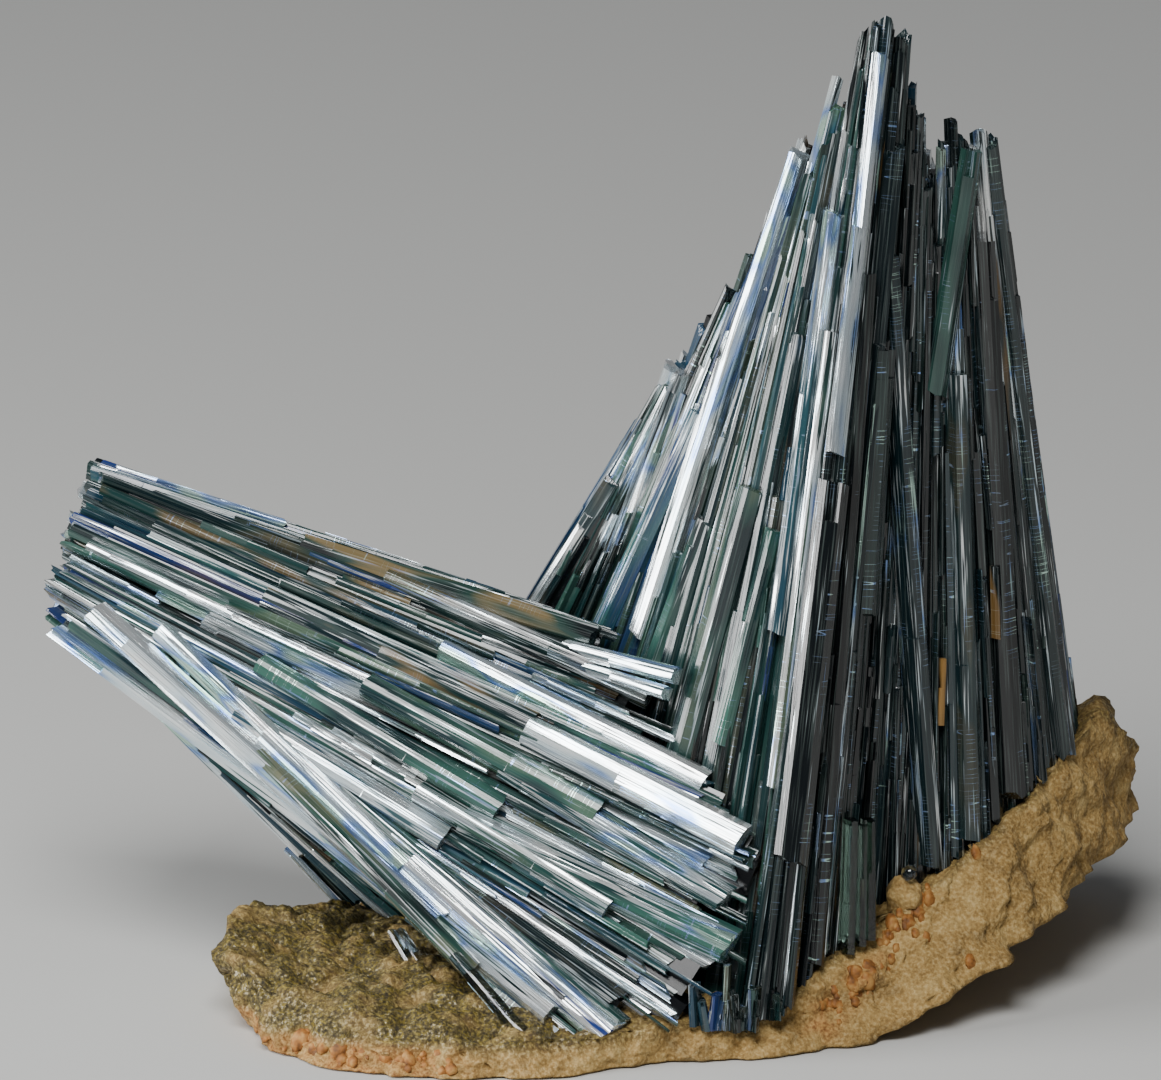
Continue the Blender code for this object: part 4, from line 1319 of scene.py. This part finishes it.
def ironstone():
    made, tree = new_material("ironstone")
    place = add(tree, "ShaderNodeTexCoord").outputs["Object"]
    blotch = noise_of(tree, place, 330.0, 3.0)
    grains = noise_of(tree, place, 2600.0, 2.0)
    stone = ramp(tree, blotch, (
        (0.30, "#644a22"), (0.45, "#8e6c34"), (0.58, "#a5844a"),
        (0.72, "#b99c62"),
    ))
    speckle = ramp(tree, grains, (
        (0.30, "#3f3016"), (0.48, "#927846"), (0.70, "#ccb582"),
    ))
    sandy = mixed(tree, 0.42, stone, speckle)
    olive = ramp(tree, grains, (
        (0.32, "#241d0c"), (0.50, "#51451d"), (0.70, "#8d7c40"),
    ))
    crusted = mixed(tree, trait(tree, "crust"), sandy, olive)
    powdery = ramp(tree, grains, ((0.35, "#744618"), (0.65, "#b08448")))
    colour = mixed(tree, trait(tree, "orange"), crusted, powdery)
    glitter = math_of(tree, "MULTIPLY", between(tree, grains, 0.48, 0.56), trait(tree, "crust"))
    dull = math_of(tree, "MULTIPLY_ADD", glitter, -0.62, 0.85)
    beads = add(tree, "ShaderNodeTexVoronoi", {"Vector": place, "Scale": BEADS_PER_METRE}).outputs["Distance"]
    beads = math_of(tree, "MULTIPLY", beads, math_of(tree, "MULTIPLY", trait(tree, "crust"), -0.8))
    height = math_of(tree, "ADD", beads, noise_of(tree, place, 1500.0, 2.0))
    bump = bump_of(tree, height, 0.9, 0.0003)
    close_material(tree, {"Base Color": colour, "Roughness": dull, "Normal": bump})
    return made


def orange_pod():
    made, tree = new_material("ferric_pods")
    place = add(tree, "ShaderNodeTexCoord").outputs["Object"]
    blotch = noise_of(tree, place, 900.0, 2.0)
    colour = ramp(tree, blotch, (
        (0.32, "#5f3a14"), (0.50, "#8f5a20"), (0.68, "#ac8044"),
    ))
    bump = bump_of(tree, noise_of(tree, place, 3000.0, 2.0), 0.6, 0.0001)
    close_material(tree, {"Base Color": colour, "Roughness": 0.7, "Normal": bump})
    return made


rock = link_object("ironstone_body", rock_mesh(), ironstone())
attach(rock, "root")
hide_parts("matrix")
print("faces of the rock:", len(rock.data.polygons))

# %% [markdown]
# ## Pods
#
# Pods are dented balls, 0.35 to 1.4 mm in radius, half sunk in the broken edge: a swarm along the seam
# at the right, and a layer of larger ones low at the left front. A tree turns and sizes dented balls on a
# cloud of points.

# %% Pods
POD_UNITS = 3
POD_DENT = 0.35
POD_SINK = 0.55


def dented_ball(name, number, subdivisions, dent_share, radius=1.0, centre=Vector()):
    """A mesh of a ball with soft dents; the number picks the dents."""
    bm = bmesh.new()
    bmesh.ops.create_icosphere(bm, subdivisions=subdivisions, radius=1.0)
    for vert in bm.verts:
        dent = noise.noise(vert.co * 1.3 + Vector((7.0 * number, 0.0, 0.0)))
        vert.co = centre + vert.co * radius * (1.0 + dent_share * dent)
    for face in bm.faces:
        face.smooth = True
    return mesh_of(name, bm)


def pod_tree(finish):
    tree, given = new_tree("pods_on_points", ("Size", "Flatness"))
    turn = add(
        tree, "FunctionNodeAlignRotationToVector", {"Vector": named(tree, "looks")}, axis="Z"
    ).outputs[0]
    squash = add(
        tree, "ShaderNodeCombineXYZ",
        {"X": given.outputs["Size"], "Y": given.outputs["Size"], "Z": given.outputs["Flatness"]},
    )
    size = scaled(tree, squash.outputs[0], named(tree, "radius", "FLOAT"))
    return finish_tree(tree, given, turn, size, finish)


def on_wall(edge, x, up):
    """A place on the front of the rock's broken edge and the way it looks."""
    ring = wall_ring(edge, up)
    front = [p for p in ring if p.y < 8.0]
    spot = min(front, key=lambda p: abs(p.x - x) + 0.02 * p.y)
    looks = Vector((spot.x, spot.y, 0.0)) - ROCK_CENTRE
    return spot, (looks.normalized() + Vector((0.0, 0.0, 0.35))).normalized()


def pod_places():
    draw = random.Random(71)
    edge = rock_edge(STATIONS)
    made = []
    for _ in range(70):
        share = draw.random()
        x = 23.5 + 11.0 * share + draw.gauss(0.0, 0.9)
        up = clamp(0.40 + 0.55 * share + draw.gauss(0.0, 0.13), 0.05, 0.98)
        made.append((*on_wall(edge, x, up), draw.choice((0.35, 0.45, 0.6, 0.6, 1.0))))
    for _ in range(46):
        x = draw.uniform(-34.0, -14.0)
        up = clamp(draw.gauss(0.30, 0.13), 0.08, 0.6)
        made.append((*on_wall(edge, x, up), draw.choice((0.35, 0.5, 0.7, 0.9))))
    for x, up, radius in ((-29.5, 0.35, 1.4), (-25.5, 0.36, 1.3), (-21.0, 0.35, 1.2), (39.0, 0.92, 0.9),
                          (48.0, 0.95, 0.8), (38.5, 0.15, 0.9)):
        made.append((*on_wall(edge, x, up), radius))
    return made


def make_pods(finish):
    meshes = [dented_ball(f"unit_pod_{number}", number, 2, POD_DENT) for number in range(POD_UNITS)]
    units = unit_collection("unit_pods", meshes)
    places = pod_places()
    draw = random.Random(72)
    spots = [spot - looks * radius * POD_SINK for spot, looks, radius in places]
    for spot, (_, _, radius) in zip(spots, places):
        spot.z = max(spot.z, 1.15 * radius)  # clear of the table
    cloud = cloud_of(
        "pods",
        spots,
        {"looks": [looks for _, looks, _ in places]},
        {"radius": [radius * MM for _, _, radius in places]},
        [draw.randrange(POD_UNITS) for _ in places],
    )
    mesh = run_tree(cloud, pod_tree(finish), {"Units": units, "Size": 1.0, "Flatness": 0.6, "Seed": 1})
    mesh.name = "ferric_pods"
    remove_units(units)
    print("pods:", len(places), "faces:", len(mesh.polygons))
    return link_object("ferric_pods", mesh, finish)


pods = make_pods(orange_pod())
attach(pods, "root")

# %% [markdown]
# ## A knob and a bead
#
# Before the foot of the dark flank the rock swells into a knob, and a bead of clear mineral, about
# 1.5 mm across, sits on it.

# %% Knob and bead
KNOB = (Vector((31.5, -8.0, 11.8)), 2.0)
BEAD = (Vector((31.9, -8.2, 14.3)), 0.8)


def on_the_rock(name, place, number, dent_share, finish):
    centre, radius = place
    mesh = dented_ball(name, number, 3, dent_share, radius * MM, (centre - MIDDLE) * MM)
    piece = link_object(name, mesh, finish)
    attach(piece, "root")
    return piece


knob = on_the_rock("ironstone_knob", KNOB, 5, 0.4, rock.data.materials[0])
bead = on_the_rock("clear_bead", BEAD, 6, 0.15, glass_pale)
print("knob and bead, mm across:", 2.0 * KNOB[1], 2.0 * BEAD[1])

# %% [markdown]
# ## Stage, light and camera
#
# The specimen is seen from about 16 degrees above. A strong, fairly small softbox low at the left is
# mirrored by the left flank and makes it white, while the right flank mirrors the dark side of the room;
# its blades' near-black colour adds painted shade there. A second one above the front lights the leaning
# spray's faces and the rock.

# %% Floor, softboxes and camera
VIEW_UP = 16.0
VIEW_DISTANCE = 2400.0
PICTURE_WIDTH = 116.1
LOOK_AT = Vector((-0.95, 0.0, 46.6))


def stage_floor(name, size, height, colour):
    bm = bmesh.new()
    bmesh.ops.create_grid(bm, x_segments=1, y_segments=1, size=size)
    bmesh.ops.translate(bm, verts=bm.verts, vec=(0.0, 0.0, height))
    finish, tree = new_material(name)
    close_material(tree, {"Base Color": linear(colour), "Roughness": 0.9})
    surface = link_object(name, mesh_of(name, bm), finish)
    return surface


def softbox(name, towards, distance, size, power):
    """A square light that faces the specimen from this direction; distance and size in metres."""
    light = bpy.data.lights.new(name, "AREA")
    light.shape = "SQUARE"
    light.size = size
    light.energy = power
    obj = link_object(name, light)
    way = Vector(towards).normalized()
    obj.location = way * distance + Vector((0.0, 0.0, 0.05))
    obj.rotation_euler = (-way).to_track_quat("-Z", "Y").to_euler()
    return obj


stage_floor("floor", 5.0, -0.0002, "#bdbdba")
softbox("left_softbox", (-0.93, -0.25, 0.27), 0.75, 0.42, 8.2)
softbox("top_softbox", (-0.13, -0.65, 0.75), 0.75, 0.34, 6.5)
world = bpy.data.worlds.new("room")
world.use_nodes = True
world.node_tree.nodes["Background"].inputs["Color"].default_value = (0.55, 0.58, 0.63, 1.0)
world.node_tree.nodes["Background"].inputs["Strength"].default_value = 0.18
bpy.context.scene.world = world

camera = bpy.data.cameras.new("camera")
camera.sensor_width = 36.0
camera.lens = camera.sensor_width * VIEW_DISTANCE / PICTURE_WIDTH
camera.clip_start, camera.clip_end = 0.05, 10.0
camera_object = link_object("camera", camera)
up = math.radians(VIEW_UP)
forward = Vector((0.0, math.cos(up), -math.sin(up)))
camera_object.location = (LOOK_AT - MIDDLE - forward * VIEW_DISTANCE) * MM
camera_object.rotation_euler = forward.to_track_quat("-Z", "Y").to_euler()
bpy.context.scene.camera = camera_object
print("camera lens, mm:", round(camera.lens, 1))
